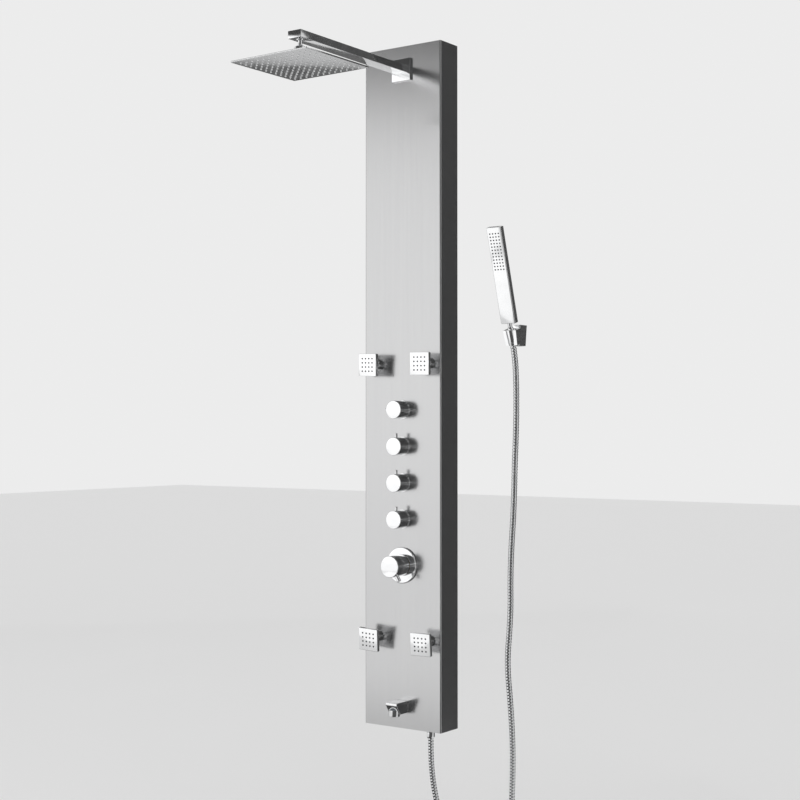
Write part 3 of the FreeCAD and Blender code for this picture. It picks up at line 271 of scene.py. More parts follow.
# The arc that rounds a corner and touches both its sides: its centre lies on the corner's bisector.
def cornerArc(before, here, after, radius, steps):
    before, after = np.array(before) - here, np.array(after) - here
    before, after = before / np.linalg.norm(before), after / np.linalg.norm(after)
    half = math.acos(np.clip(before @ after, -1, 1)) / 2
    middle = before + after
    centre = here + middle / np.linalg.norm(middle) * radius / math.sin(half)
    foot, tip = here + before * radius / math.tan(half), here + after * radius / math.tan(half)
    t = np.linspace(0, 1, steps)[:, None]
    arc = (foot - centre) * (1 - t) + (tip - centre) * t
    return centre + arc / np.linalg.norm(arc, axis=1)[:, None] * radius


# Profile corners (radius, distance along, softness), with each soft corner rounded by an arc.
def softProfile(corners, steps=5):
    rows = []
    for k, (radius, along, soft) in enumerate(corners):
        here = np.array([radius, along])
        if soft <= 0 or k in (0, len(corners) - 1):
            rows.append(here[None])
        else:
            rows.append(cornerArc(corners[k - 1][:2], here, corners[k + 1][:2], soft, steps))
    return np.concatenate(rows)


# Rows of radius and distance along an axis swing round it: each point is the centre, plus the distance
# times the axis, plus the radius times the direction at its angle. A radius may change round the axis.
def swing(radius, along, centre, axis, sides):
    axis = np.array(axis, float) / np.linalg.norm(axis)
    first = xAxis if abs(axis @ xAxis) < 0.7 else yAxis
    first = first - axis * (first @ axis)
    first = first / np.linalg.norm(first)
    a = np.linspace(0, 2 * np.pi, sides, endpoint=False)
    around = np.cos(a)[:, None] * first + np.sin(a)[:, None] * np.cross(axis, first)
    return np.array(centre, float) + along[:, None, None] * axis + radius[..., None] * around[None]


# A turned skin: each profile point (radius, distance along) swings round the axis.
def turnedSkin(profile, centre, axis, sides=64):
    profile = np.array(profile, float)
    return swing(profile[:, :1], profile[:, 1], centre, axis, sides)


# The same from corners with softness, as a skin without end faces.
def turnedPart(corners, centre, axis, sides=64, steps=5):
    return turnedSkin(softProfile(corners, steps), centre, axis, sides), "open"


# The outline of a rounded rectangle: a quarter circle at each corner, joined by straight sides.
def rectangleOutline(halfWidth, halfHeight, corner, steps=6):
    a = np.concatenate([np.linspace(q, q + np.pi / 2, steps) for q in np.arange(4) * np.pi / 2])
    sign = np.repeat([[1, 1], [-1, 1], [-1, -1], [1, -1]], steps, axis=0)
    arcs = corner * np.stack([np.cos(a), np.sin(a)], axis=-1)
    return sign * [halfWidth - corner, halfHeight - corner] + arcs


# Soft end edges: the outline draws in along a quarter circle at each end. Gives inset and place by ring.
def softEnds(start, stop, edge, steps=5):
    t = np.linspace(0, np.pi / 2, steps)
    inset = np.concatenate([edge * (1 - np.sin(t)), edge * (1 - np.cos(t))])
    return zip(inset, np.concatenate([start + edge * (1 - np.cos(t)), stop - edge + edge * np.sin(t)]))


# A bar of rounded rectangular section with soft end edges; its sizes may differ at the two ends.
def softBar(start, along, across, length, widths, heights, corner, edge):
    along, across = np.array(along, float), np.array(across, float)
    up = np.cross(along, across)
    widths, heights = np.broadcast_to(widths, 2), np.broadcast_to(heights, 2)
    rings = []
    for gap, distance in softEnds(0, length, edge):
        share = distance / length
        halfWidth = (widths[0] + (widths[1] - widths[0]) * share) / 2 - gap
        halfHeight = (heights[0] + (heights[1] - heights[0]) * share) / 2 - gap
        ring = rectangleOutline(halfWidth, halfHeight, max(corner - gap, 0.02))
        rings.append(np.array(start) + distance * along + ring[:, :1] * across + ring[:, 1:] * up)
    return np.array(rings)


# Places a pitch apart, centred on zero.
def spread(count, pitch):
    return (np.arange(count) - (count - 1) / 2) * pitch


# Small domed nozzles: a straight wall, a shoulder and a closed tip, set at many points at once.
def nozzleSkins(places, axis, radius, height, sides=8):
    rows = [(radius, -0.2), (radius, 0.55 * height), (0.72 * radius, 0.95 * height), (0.3 * radius, height)]
    one = turnedSkin(rows, (0, 0, 0), axis, sides)
    return [(one + np.array(place), "flat") for place in places]


# A path of straight runs with an arc at each bend, as points a little apart.
def bentPath(corners, bend, steps=9):
    corners = np.array(corners, float)
    bends = zip(corners[:-2], corners[1:-1], corners[2:])
    arcs = [cornerArc(before, here, after, bend, steps) for before, here, after in bends]
    return np.concatenate([corners[:1], *arcs, corners[-1:]])


# A tube along a path: a circle square to the path at each point, its first corner kept towards one side.
def tubeSkin(path, radius, steady, sides=28):
    path = np.array(path, float)
    along = np.gradient(path, axis=0)
    along /= np.linalg.norm(along, axis=1)[:, None]
    first = steady - along * (along @ steady)[:, None]
    first /= np.linalg.norm(first, axis=1)[:, None]
    second = np.cross(along, first)
    a = np.linspace(0, 2 * np.pi, sides, endpoint=False)
    around = np.cos(a)[None, :, None] * first[:, None] + np.sin(a)[None, :, None] * second[:, None]
    radius = np.broadcast_to(radius, (len(path), sides))
    return path[:, None] + radius[:, :, None] * around


# A convex side outline, given by its corners, with round corners, drawn in by a distance all round:
# each corner's arc keeps its centre and loses the distance from its radius.
def sideOutline(corners, soft, inset, steps=5):
    corners = np.array(corners, float)
    runs = np.roll(corners, -1, axis=0) - corners
    runs /= np.linalg.norm(runs, axis=1)[:, None]
    turning = np.sign(runs[0, 0] * runs[1, 1] - runs[0, 1] * runs[1, 0])
    outward = turning * np.stack([runs[:, 1], -runs[:, 0]], axis=-1)
    before = np.roll(outward, 1, axis=0)
    middle = before + outward
    middle /= np.linalg.norm(middle, axis=1)[:, None]
    centre = corners - middle * soft / np.sum(middle * outward, axis=1)[:, None]
    t = np.linspace(0, 1, steps)[None, :, None]
    arc = before[:, None] * (1 - t) + outward[:, None] * t
    arc /= np.linalg.norm(arc, axis=2)[:, :, None]
    return (centre[:, None] + arc * (soft - inset)).reshape(-1, 2)


# A side outline carried from one x to another, with soft end edges.
def carriedOutline(corners, x0, x1, soft, edge):
    ends = softEnds(x0, x1, edge)
    return np.array([np.insert(sideOutline(corners, soft, gap), 0, x, axis=1) for gap, x in ends])


# A threaded skin: the profile's rows between two places along the axis are cut in by a groove
# that moves on by one pitch in each turn.
def threadedSkin(profile, centre, axis, start, stop, pitch=1.8, depth=0.9, sides=48):
    profile = np.array(profile, float)
    rows = np.arange(start, stop, pitch / 8)
    radius = np.interp(start, profile[:, 1], profile[:, 0])
    below, above = profile[profile[:, 1] < start], profile[profile[:, 1] > stop]
    profile = np.concatenate([below, np.stack([np.full_like(rows, radius), rows], axis=-1), above])
    along = profile[:, 1:]
    a = np.linspace(0, 2 * np.pi, sides, endpoint=False)[None]
    groove = depth * (0.5 - 0.5 * np.cos(2 * np.pi * (along / pitch - a / (2 * np.pi))))
    groove = np.where((along >= start) & (along <= stop), groove, 0.0)
    return swing(profile[:, :1] - groove, profile[:, 1], centre, axis, sides)


# A hexagon nut: six flats, with the corners cut back by a cone at both faces, and a round hole.
def nutPart(flats, hole, centre, axis, thickness, sides=72):
    a = np.linspace(0, 2 * np.pi, sides, endpoint=False)
    hexagon = flats / 2 / np.cos(np.mod(a + np.pi / 6, np.pi / 3) - np.pi / 6)
    crown = 0.5 * flats
    rows = [(hole, 0), (crown, 0), (crown * 1.16, crown * 0.09), (crown * 1.16, thickness - crown * 0.09),
            (crown, thickness), (hole, thickness), (hole, 0)]
    rows = np.array(rows, float)
    return swing(np.minimum(rows[:, :1], hexagon), rows[:, 1], centre, axis, sides), "open"


# Turns a piece's points about its ball: roll on the y axis, tilt down, then pan.
def turnAbout(grid, centre, pan, tilt=0.0, roll=0.0):
    pan, tilt, roll = np.radians([pan, tilt, roll])
    rolled = np.array([[np.cos(roll), 0, np.sin(roll)], [0, 1, 0], [-np.sin(roll), 0, np.cos(roll)]])
    tilted = np.array([[1, 0, 0], [0, np.cos(tilt), -np.sin(tilt)], [0, np.sin(tilt), np.cos(tilt)]])
    panned = np.array([[np.cos(pan), -np.sin(pan), 0], [np.sin(pan), np.cos(pan), 0], [0, 0, 1]])
    return (grid - centre) @ (panned @ tilted @ rolled).T + centre


# the hose comes first: its length and route fix where the loop hangs
trayFoot, trayFront = -1400.0, -68.0
hoseShape = {
    "radius": 6.5, "rootRadius": 5.85, "pitch": 6.5, "sides": 24, "ringsPerRib": 8,
    "route": [
        (53.5, -34.0, -21.0), (53.5, -34.0, -52.0), (56.0, -33.5, -96.0), (63.8, -32.5, -145.4),
        (84.5, -31.5, -217.5), (113.2, -30.5, -258.5), (153.8, -30.0, -280.1), (197.8, -30.0, -278.5),
        (235.5, -30.0, -255.9), (258.5, -30.0, -216.0), (260.5, -30.0, -126.0), (263.0, -30.0, -58.0),
        (262.5, -31.0, 8.0), (258.5, -32.5, 80.0), (253.0, -34.0, 142.0), (253.0, -34.0, 184.0),
        (258.0, -34.5, 236.0), (260.5, -34.0, 286.0), (259.5, -33.5, 338.0), (261.0, -32.5, 404.0),
        (264.8, -31.0, 467.0), (266.9, -29.5, 527.0), (267.4, -28.0, 587.0), (269.0, -26.0, 645.0),
        (269.8, -24.5, 708.0), (269.7, -25.0, 768.0), (270.0, -29.42, 817.5), (270.0, -38.5, 847.2),
    ],                                        # x, y, and height above the panel's lower edge
}


# The hose's centreline: a smooth spline drawn by the listed points, read back as points.
def hoseLine(values):
    curve = bpy.data.curves.new("hoseLine", "CURVE")
    curve.dimensions = "3D"
    spline = curve.splines.new("NURBS")
    spline.points.add(len(values["route"]) - 1)
    for point, (x, y, height) in zip(spline.points, values["route"]):
        point.co = (x * 0.001, y * 0.001, (trayFoot + height) * 0.001, 1.0)
    spline.order_u = 3
    spline.use_endpoint_u = True
    spline.resolution_u = 24
    holder = bpy.data.objects.new("hoseLine", curve)
    line = bpy.data.meshes.new_from_object(holder)
    points = np.empty(len(line.vertices) * 3)
    line.vertices.foreach_get("co", points)
    bpy.data.objects.remove(holder)
    bpy.data.curves.remove(curve)
    bpy.data.meshes.remove(line)
    return points.reshape(-1, 3)


# The ribbed skin: the radius swells and dips once in each pitch along the line, and the crest
# moves on by one pitch in each turn round it, as a wound steel strip does.
def hoseSkin(line, values):
    steps = np.linalg.norm(np.diff(line, axis=0), axis=1)
    distance = np.concatenate([[0], np.cumsum(steps)])
    rings = int(distance[-1] / values["pitch"] * values["ringsPerRib"])
    s = np.linspace(0, distance[-1], rings)
    path = np.stack([np.interp(s, distance, line[:, k]) for k in range(3)], axis=-1)
    a = np.linspace(0, 2 * np.pi, values["sides"], endpoint=False)
    turn = s[:, None] / values["pitch"] - a[None] / (2 * np.pi)
    swell = np.clip(0.5 + 0.8 * np.cos(2 * np.pi * turn), 0, 1)
    radius = values["rootRadius"] + (values["radius"] - values["rootRadius"]) * swell
    return tubeSkin(path, radius, yAxis, values["sides"])


line = hoseLine(hoseShape)
hose = buildPiece("hosePiece", [(hoseSkin(line * 1000, hoseShape), "flat")], None, "hose_steel", ["hose"],
                  sharpAt=60.0)
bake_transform(hose)

knobShape = {
    "radius": 20.0, "reach": 35.0, "back": 2.0, "wall": 2.5, "face": 3.0, "edge": 1.1,
    "leverRadius": 3.25, "leverReach": 29.0, "leverSetback": 11.0, "depth": 1.5,
    "hub": (4.2, 7.0, 14.0),                  # bore, outer radius and length
    "heights": [709.3, 627.9, 546.5, 465.1], "levers": [(-1, 0, 0), (0, 0, 1), (0, 0, 1), (0, 0, 1)],
}


# A knob: one turned shell from the spindle's hub, over the hollow back, the side and the face.
def knobSkin(values, z):
    r, wall = values["radius"], values["wall"]
    bore, hub, length = knobShape["hub"]
    inside = values["reach"] - values["face"]
    profile = softProfile([
        (bore, inside - length, 0), (hub, inside - length, 0.6), (hub, inside, 0.8), (r - wall, inside, 0.8),
        (r - wall, values["back"], 0.4), (r, values["back"], 0.5), (r, values["reach"], values["edge"]),
        (0.0, values["reach"], 0)])
    shell = np.concatenate([[(0.0, inside - 1.0)], [(bore, inside - 1.0)], profile])
    return turnedSkin(shell, (0, trayFront, z), -yAxis, 96)


# A lever: a round pin with a soft end, set a little into the knob's side.
def leverSkin(values, z, side):
    radius, reach = values["leverRadius"], values["leverReach"]
    root = values["radius"] - values["depth"]
    profile = softProfile([(0, root, 0), (radius, root, 0), (radius, reach, 0.7), (0, reach, 0)])
    return turnedSkin(profile, (0, trayFront - values["reach"] + values["leverSetback"], z), side, 32)


for i, (height, side) in enumerate(zip(knobShape["heights"], knobShape["levers"])):
    z, number = trayFoot + height, i + 1
    skins = [(knobSkin(knobShape, z), "open"), (leverSkin(knobShape, z, side), "open")]
    buildPiece("knobPiece%d" % number, skins, "knob_%d" % number, "polished_chrome", ["knob_%d" % number])

rosetteShape = {"radius": 21.2, "hole": 10.1, "thickness": 1.6, "edge": 0.5}
r, hole, t = rosetteShape["radius"], rosetteShape["hole"], rosetteShape["thickness"]
profile = [(hole, 0, 0), (r, 0, 0), (r, t, rosetteShape["edge"]), (hole, t, 0.2), (hole, 0, 0)]
rosettes = [turnedPart(profile, (0, trayFront, trayFoot + height), -yAxis, 96)
            for height in knobShape["heights"]]
buildPiece("rosettePieces", rosettes, "panel", "polished_chrome", ["valve_rosettes"])

mixerShape = {
    "height": 362.5, "radius": 23.75, "reach": 50.0, "back": 6.5, "wall": 2.6, "face": 2.6, "edge": 1.2,
    "leverRadius": 4.7, "leverReach": 36.8, "leverSetback": 12.0, "leverAngle": -60.0, "depth": 1.5,
    "plateRadius": 40.5, "plateThickness": 5.0, "plateHole": 20.3, "plateEdge": 2.2,
}
mixerZ = trayFoot + mixerShape["height"]
mixerTurn = math.radians(mixerShape["leverAngle"])
lever = leverSkin(mixerShape, mixerZ, (math.cos(mixerTurn), 0, math.sin(mixerTurn)))
buildPiece("mixerHandlePiece", [(knobSkin(mixerShape, mixerZ), "open"), (lever, "open")], "mixer_handle",
           "polished_chrome", ["mixer_handle"])
hole, r, t = mixerShape["plateHole"], mixerShape["plateRadius"], mixerShape["plateThickness"]
profile = [(hole, 0, 0), (r, 0, 0), (r, t, mixerShape["plateEdge"]), (hole, t, 0.4), (hole, 0, 0)]
buildPiece("mixerPlatePiece", [turnedPart(profile, (0, trayFront, mixerZ), -yAxis, 128)], "panel",
           "polished_chrome", ["mixer_escutcheon"])
print("knobs and mixer made")

jetShape = {
    "face": 50.0, "thickness": 8.0, "back": 22.0, "corner": 1.2, "edge": 0.8, "ballReach": 5.5,
    "nozzleRadius": 1.9, "nozzleHeight": 0.7, "nozzlePitch": 9.4, "nozzleRows": 4, "ball": 9.0, "stem": 5.0,
    # rows of radius, reach from the ball's centre and softness
    "cone": [(5.0, 8.2, 0), (5.0, 13.5, 0.5), (6.0, 13.5, 0.5), (9.0, 22.4, 0), (0, 22.4, 0)],
    "collar": [(11.8, -3.5, 0), (13.0, -3.5, 0), (13.0, 4.5, 1.2), (8.6, 4.5, 0.5), (9.6, 0.6, 0),
               (11.8, 0.6, 0), (11.8, -3.5, 0)],
}
jetPlaces = {
    "upper_left": (-70.0, 811.0, -3.0, 2.0, 1.5), "upper_right": (70.0, 811.0, 0.0, 2.0, 1.0),
    "lower_left": (-70.0, 198.5, 2.0, 7.0, 3.0), "lower_right": (70.0, 198.5, 4.0, 6.0, 0.5),
}                                             # x, height, then pan, tilt and roll in degrees


# A ball's profile, from an angle below its middle up to where the neck meets it.
def ballRows(ball, neck, start, steps):
    a = np.linspace(start, math.acos(neck / ball), steps)
    return ball * np.stack([np.cos(a), np.sin(a)], axis=-1)


# a jet's back: the ball, the stem and a cone under the plate, turned in one
stem = np.concatenate([ballRows(jetShape["ball"], jetShape["stem"], -np.pi / 2, 20),
                       softProfile(jetShape["cone"])])
collarSkins = []
for name, (x, height, *turns) in jetPlaces.items():
    z = trayFoot + height
    centre = np.array([x, trayFront - jetShape["ballReach"], z])
    plate = softBar(centre - [0, jetShape["back"], 0], -yAxis, xAxis, jetShape["thickness"],
                    jetShape["face"], jetShape["face"], jetShape["corner"], jetShape["edge"])
    skins = [(plate, "flat"), (turnedSkin(stem, centre, -yAxis, 48), "open")]
    skins = [(turnAbout(grid, centre, *turns), ends) for grid, ends in skins]
    buildPiece("jetPiece_" + name, skins, "jet_" + name, "polished_chrome", ["jet_plate_" + name])
    span = spread(jetShape["nozzleRows"], jetShape["nozzlePitch"])
    front = centre - [0, jetShape["back"] + jetShape["thickness"], 0]
    places = [front + [i, 0, k] for i in span for k in span]
    nozzles = nozzleSkins(places, -yAxis, jetShape["nozzleRadius"], jetShape["nozzleHeight"], 12)
    nozzles = [(turnAbout(grid, centre, *turns), ends) for grid, ends in nozzles]
    buildPiece("jetNozzles_" + name, nozzles, "jet_" + name, "nozzle_rubber", ["jet_nozzles_" + name])
    collarSkins.append(turnedPart(jetShape["collar"], centre, -yAxis))
buildPiece("jetCollarPieces", collarSkins, "panel", "polished_chrome", ["jet_collars"])
print("jets made")

headShape = {
    "size": 200.0, "yaw": -1.0, "axisY": -431.0, "faceZ": 10.0, "plate": 1.2, "topZ": 13.3, "edge": 0.45,
    "corner": 1.5, "domeBase": 104.0, "domeTop": 52.0, "domeTopZ": 20.3, "rows": 12, "pitch": 15.5,
    "domeSink": 0.3, "domeCorner": 3.0, "domeEdge": 0.5,
    "nozzleRadius": 1.9, "nozzleHeight": 2.2, "ballZ": 45.0, "ball": 7.5, "neck": 4.4,
    # rows of radius, height above the ball's centre and softness
    "socket": [(10.2, -26.0, 0), (10.2, -0.8, 0.2), (9.2, -0.8, 0.2), (9.2, -8.7, 0)],
    "collar": [(10.4, -24.7, 0), (12.2, -24.7, 0.4), (12.2, -14.0, 0.3), (11.5, -13.2, 0.3),
               (11.5, -11.6, 0.3), (12.2, -10.8, 0.3), (12.2, 1.8, 0.8), (8.7, 4.4, 0.5),
               (6.9, 4.4, 0.3), (8.6, 0.5, 0), (10.4, 0.5, 0), (10.4, -24.7, 0)],
    "stud": [(4.4, 7.0, 0), (4.4, 15.5, 0.6), (8.0, 15.5, 0.3), (8.0, 17.5, 0), (0, 17.5, 0)],
}
armShape = {
    "width": 34.0, "thickness": 16.0, "z": 70.5, "tip": -450.0, "corner": 0.9, "edge": 0.7, "flange": 50.0,
    "flangeThickness": 6.0, "flangeCorner": 1.0, "flangeEdge": 0.8,
}


# Turns finished head points about the ball's upright axis.
def yawHead(grid):
    return turnAbout(grid, np.array([0, headShape["axisY"], 0]), headShape["yaw"])


size, axisY = headShape["size"], headShape["axisY"]
face = softBar((0, axisY, headShape["faceZ"]), zAxis, xAxis, headShape["plate"], size, size,
               headShape["corner"], headShape["edge"])
buildPiece("headFacePiece", [(yawHead(face), "flat")], "rain_head", "polished_chrome", ["head_face_plate"],
           finish=satinSteel)
lid = softBar((0, axisY, headShape["faceZ"] + headShape["plate"]), zAxis, xAxis,
              headShape["topZ"] - headShape["faceZ"] - headShape["plate"], size, size,
              headShape["corner"], headShape["edge"])
domeSizes = [headShape["domeBase"], headShape["domeTop"]]
domeFoot = headShape["topZ"] - headShape["domeSink"]
dome = softBar((0, axisY, domeFoot), zAxis, xAxis, headShape["domeTopZ"] - domeFoot, domeSizes, domeSizes,
               headShape["domeCorner"], headShape["domeEdge"])
ballCentre = (0, axisY, headShape["ballZ"])
socket = softProfile(headShape["socket"])
socketSkin = turnedSkin([(0, socket[0, 1]), *socket.tolist(), (0, socket[-1, 1])], ballCentre, zAxis, 48)
skins = [(yawHead(lid), "flat"), (yawHead(dome), "flat"), (yawHead(socketSkin), "open")]
buildPiece("headCoverPiece", skins, "rain_head", "polished_chrome", ["head_cover"])
buildPiece("headCollarPiece", [turnedPart(headShape["collar"], ballCentre, zAxis, 72)], "rain_head",
           "polished_chrome", ["head_collar"])
ball = ballRows(headShape["ball"], headShape["neck"], -1.2, 18)
stud = np.concatenate([[(0, ball[0, 1])], ball, softProfile(headShape["stud"])])
buildPiece("headStudPiece", [(turnedSkin(stud, ballCentre, zAxis, 48), "open")], "panel", "polished_chrome",
           ["head_ball_stud"])
span = spread(headShape["rows"], headShape["pitch"])
places = [np.array([i, axisY + k, headShape["faceZ"]]) for i in span for k in span]
nozzles = nozzleSkins(places, -zAxis, headShape["nozzleRadius"], headShape["nozzleHeight"])
# the nozzle rubber is made pale here: painted highlight
buildPiece("headNozzlePieces", [(yawHead(grid), ends) for grid, ends in nozzles], "rain_head",
           "nozzle_rubber", ["head_nozzles"], finish=headNozzleRubberPaintedHighlight)

arm = softBar((0, armShape["tip"], armShape["z"]), yAxis, xAxis, trayFront - armShape["tip"],
              armShape["width"], armShape["thickness"], armShape["corner"], armShape["edge"])
buildPiece("armPiece", [(arm, "flat")], "panel", "polished_chrome", ["shower_arm"])
side, thickness = armShape["flange"], armShape["flangeThickness"]
flange = softBar((0, trayFront, armShape["z"]), -yAxis, xAxis, thickness, side, side,
                 armShape["flangeCorner"], armShape["flangeEdge"])
buildPiece("flangePiece", [(flange, "flat")], "panel", "polished_chrome", ["arm_flange"])
print("rain head and arm made")

wandShape = {
    "x": 270.0, "foot": (-38.5, 847.2), "lean": 17.0, "low": 48.5, "length": 209.0, "width": 35.0,
    "thickness": 14.0, "corner": 1.6, "edge": 1.3, "nozzleRadius": 1.65, "nozzleHeight": 0.8, "rows": 12,
    "columns": 4, "pitch": 7.0, "firstRow": 13.6,
    # rows of radius, distance along the wand from where the hose enters its nut, and softness
    "neck": [(0, 22.5, 0), (5.4, 22.5, 0), (5.4, 34.5, 0), (6.8, 34.5, 0.3), (6.4, 37.0, 0.4),
             (4.6, 40.5, 1.0), (4.6, 49.5, 0), (0, 49.5, 0)],
    "coneNut": [(4.2, 0, 0), (8.6, 0, 0.5), (9.0, 5.0, 0), (8.75, 5.4, 0.1), (8.8, 6.4, 0.1), (9.1, 6.8, 0),
                (11.2, 34.5, 0.6), (5.6, 34.5, 0.2), (5.6, 22.5, 0), (4.2, 22.5, 0), (4.2, 0, 0)],
}
lean = math.radians(wandShape["lean"])
wandFoot = np.array([wandShape["x"], wandShape["foot"][0], trayFoot + wandShape["foot"][1]])
alongWand = np.array([0, -math.sin(lean), math.cos(lean)])
aheadOfWand = np.array([0, -math.cos(lean), -math.sin(lean)])
handle = softBar(wandFoot + alongWand * wandShape["low"], alongWand, xAxis, wandShape["length"],
                 wandShape["width"], wandShape["thickness"], wandShape["corner"], wandShape["edge"])
neck = turnedPart(wandShape["neck"], wandFoot, alongWand, 48)
buildPiece("wandPiece", [(handle, "flat"), neck], "hand_shower", "polished_chrome", ["wand_body"])
firstRow = wandShape["low"] + wandShape["length"] - wandShape["firstRow"]
down = firstRow - np.arange(wandShape["rows"]) * wandShape["pitch"]
out = spread(wandShape["columns"], wandShape["pitch"])
face = wandFoot + aheadOfWand * wandShape["thickness"] / 2
places = [face + alongWand * i + xAxis * k for i in down for k in out]
nozzles = nozzleSkins(places, aheadOfWand, wandShape["nozzleRadius"], wandShape["nozzleHeight"], 10)
buildPiece("wandNozzlePieces", nozzles, "hand_shower", "nozzle_rubber", ["wand_nozzles"])
coneNut = turnedPart(wandShape["coneNut"], wandFoot, alongWand, 72)
coneNutPiece = buildPiece("coneNutPiece", [coneNut], "hand_shower", "polished_chrome", ["wand_cone_nut"])

holderShape = {
    "forkStart": 1.0, "forkHeight": 32.5, "widths": (28.0, 32.0), "front": 6.4, "back": 15.0,
    "seat": (8.98, 11.42), "seatLength": 34.5,   # the notch's radius at its foot and head
    "blockWidths": (18.0, 24.0), "blockDepth": 27.9, "blockHeight": 45.0, "blockCentre": 868.5,
    "blockY": -14.0, "blockEdge": 0.8,
}


# The fork: a C-shaped outline round the nut, carried up the wand's axis while its width and its
# round notch both grow; the notch is an arc that runs behind the nut from mouth to mouth.
def forkSkin(values, rows=12, steps=40):
    t = np.linspace(0, 1, rows)[:, None]
    low, high = values["seat"]
    notch = low + (high - low) * (values["forkStart"] + t * values["forkHeight"]) / values["seatLength"]
    half = (values["widths"][0] + (values["widths"][1] - values["widths"][0]) * t) / 2
    mouth = np.arcsin(values["front"] / notch)
    a = mouth - np.linspace(0, 1, steps)[None] * (np.pi + 2 * mouth)
    side = np.concatenate([-half, -half, half, half, notch * np.cos(a)], axis=1)
    front, back = np.full_like(t, values["front"]), np.full_like(t, -values["back"])
    forward = np.concatenate([front, back, back, front, notch * np.sin(a)], axis=1)
    up = (values["forkStart"] + t * values["forkHeight"]) + np.zeros_like(side)
    return wandFoot + side[..., None] * xAxis + forward[..., None] * aheadOfWand + up[..., None] * alongWand


blockFoot = trayFoot + holderShape["blockCentre"] - holderShape["blockHeight"] / 2
edge = holderShape["blockEdge"]
block = softBar((wandShape["x"], holderShape["blockY"], blockFoot), zAxis, xAxis, holderShape["blockHeight"],
                holderShape["blockWidths"], holderShape["blockDepth"], edge, edge)
buildPiece("holderPiece", [(forkSkin(holderShape), "flat"), (block, "flat")], "panel", "polished_chrome",
           ["wand_holder"])

outletShape = {
    "x": 53.5, "y": -34.0, "radius": 8.0, "flange": 10.4, "nutFlats": 21.0, "low": -12.0, "high": 24.0,
    "way": 6.0, "floor": 20.0, "rim": 7.2,    # its bore's radius and floor, and the radius of its top edge
    "thread": (6.4, 17.0), "pitch": 1.5, "groove": 0.6,
    # the hose's nut: rows of radius, height above the tray's foot and softness
    "hoseNut": [(6.6, -21.0, 0), (8.2, -21.0, 0.4), (9.4, -18.0, 0.4), (9.4, -8.0, 0.3), (8.9, -7.4, 0.2),
                (8.9, -6.2, 0.2), (9.4, -5.6, 0.3), (9.4, -2.0, 0.5), (6.6, -2.0, 0), (6.6, -21.0, 0)],
}
outletFoot = (outletShape["x"], outletShape["y"], trayFoot)
hoseNut = turnedPart(outletShape["hoseNut"], outletFoot, zAxis)
hoseNutPiece = buildPiece("hoseNutPiece", [hoseNut], "panel", "polished_chrome", ["hose_nut"])
print("hand shower made")

spoutShape = {
    "width": 30.0, "top": 62.0, "height": 26.0, "reach": 43.0, "underReach": 28.5, "lip": 6.0, "soft": 1.3,
    "edge": 0.9, "mouthRadius": 12.0, "mouthBore": 9.6, "mouthSetback": 13.0, "mouthDrop": 31.0,
    "mouthDepth": 14.0,
}
spoutTop, spoutTip = trayFoot + spoutShape["top"], trayFront - spoutShape["reach"]
spoutLow = spoutTop - spoutShape["height"]
spoutSide = [(trayFront, spoutLow), (trayFront, spoutTop), (spoutTip, spoutTop),
             (spoutTip, spoutTop - spoutShape["lip"]), (trayFront - spoutShape["underReach"], spoutLow)]
spout = carriedOutline(spoutSide, -spoutShape["width"] / 2, spoutShape["width"] / 2, spoutShape["soft"],
                       spoutShape["edge"])
mouth = (0, spoutTip + spoutShape["mouthSetback"], spoutTop - spoutShape["mouthDrop"])
r, bore = spoutShape["mouthRadius"], spoutShape["mouthBore"]
depth = spoutShape["mouthDepth"]
mouthWall = [(bore, depth, 0), (bore, 0.0, 0.6), (r, 0.0, 1.0), (r, depth, 0), (bore, depth, 0)]
buildPiece("spoutPiece", [(spout, "flat"), turnedPart(mouthWall, mouth, zAxis)], "panel", "polished_chrome",
           ["spout_body"])

# the aerator's ridged face, as rows of radius and height above the mouth's lower edge
aeratorRows = [(0, 5.0), (1.2, 5.0), (1.6, 5.9), (3.0, 5.9), (3.4, 5.0), (4.4, 5.0), (4.8, 5.9), (6.2, 5.9),
               (6.6, 5.0), (7.6, 5.0), (8.0, 5.9), (8.6, 5.9), (9.0, 4.6), (9.55, 4.6), (9.55, 16.0),
               (0, 16.0)]
# the aerator wears the dark copy of the seat plastic, painted shade inside the mouth
buildPiece("aeratorPiece", [(turnedSkin(aeratorRows, mouth, zAxis, 48), "open")], "panel", "seat_plastic",
           ["spout_aerator"], finish=aeratorPaintedShadePlastic)
print("spout made")

tailShape = {
    "radius": 10.48, "bore": 7.5, "length": 14.0, "sheet": 1.2, "nutFlats": 27.0, "nutThickness": 5.0,
    "flange": 13.0, "flangeThickness": 2.0, "cup": 11.7, "cupFront": 0.3, "cupBore": 10.7,
    "cupFloor": -4.5, "funnel": -7.7, "chamfer": 0.8, "play": 0.1,
}
r, bore, cup, flange, play = [tailShape[key] for key in ("radius", "bore", "cup", "flange", "play")]
tip, back = -jetShape["ballReach"] - tailShape["length"], -jetShape["ballReach"]
flangeFront, chamfer = back + tailShape["flangeThickness"], tailShape["chamfer"]
socketRows = [(bore, tip), (r - chamfer, tip), (r, tip + chamfer), (r, back), (flange, back),
              (flange, flangeFront), (cup, flangeFront), (cup, tailShape["cupFront"]),
              (tailShape["cupBore"], tailShape["cupFront"]), (tailShape["cupBore"], tailShape["cupFloor"]),
              (bore, tailShape["funnel"]), (bore, tip)]
spoutMiddle = spoutTop - spoutShape["height"] / 2
sockets, tails = [], [(0.0, armShape["z"], -zAxis), (0.0, spoutMiddle, zAxis)]
for name, (x, height, *turns) in jetPlaces.items():
    centre = (x, trayFront - jetShape["ballReach"], trayFoot + height)
    sockets.append((turnedSkin(socketRows, centre, -yAxis, 64), "open"))
    tails.append((x, trayFoot + height, -zAxis if name.startswith("upper") else zAxis))
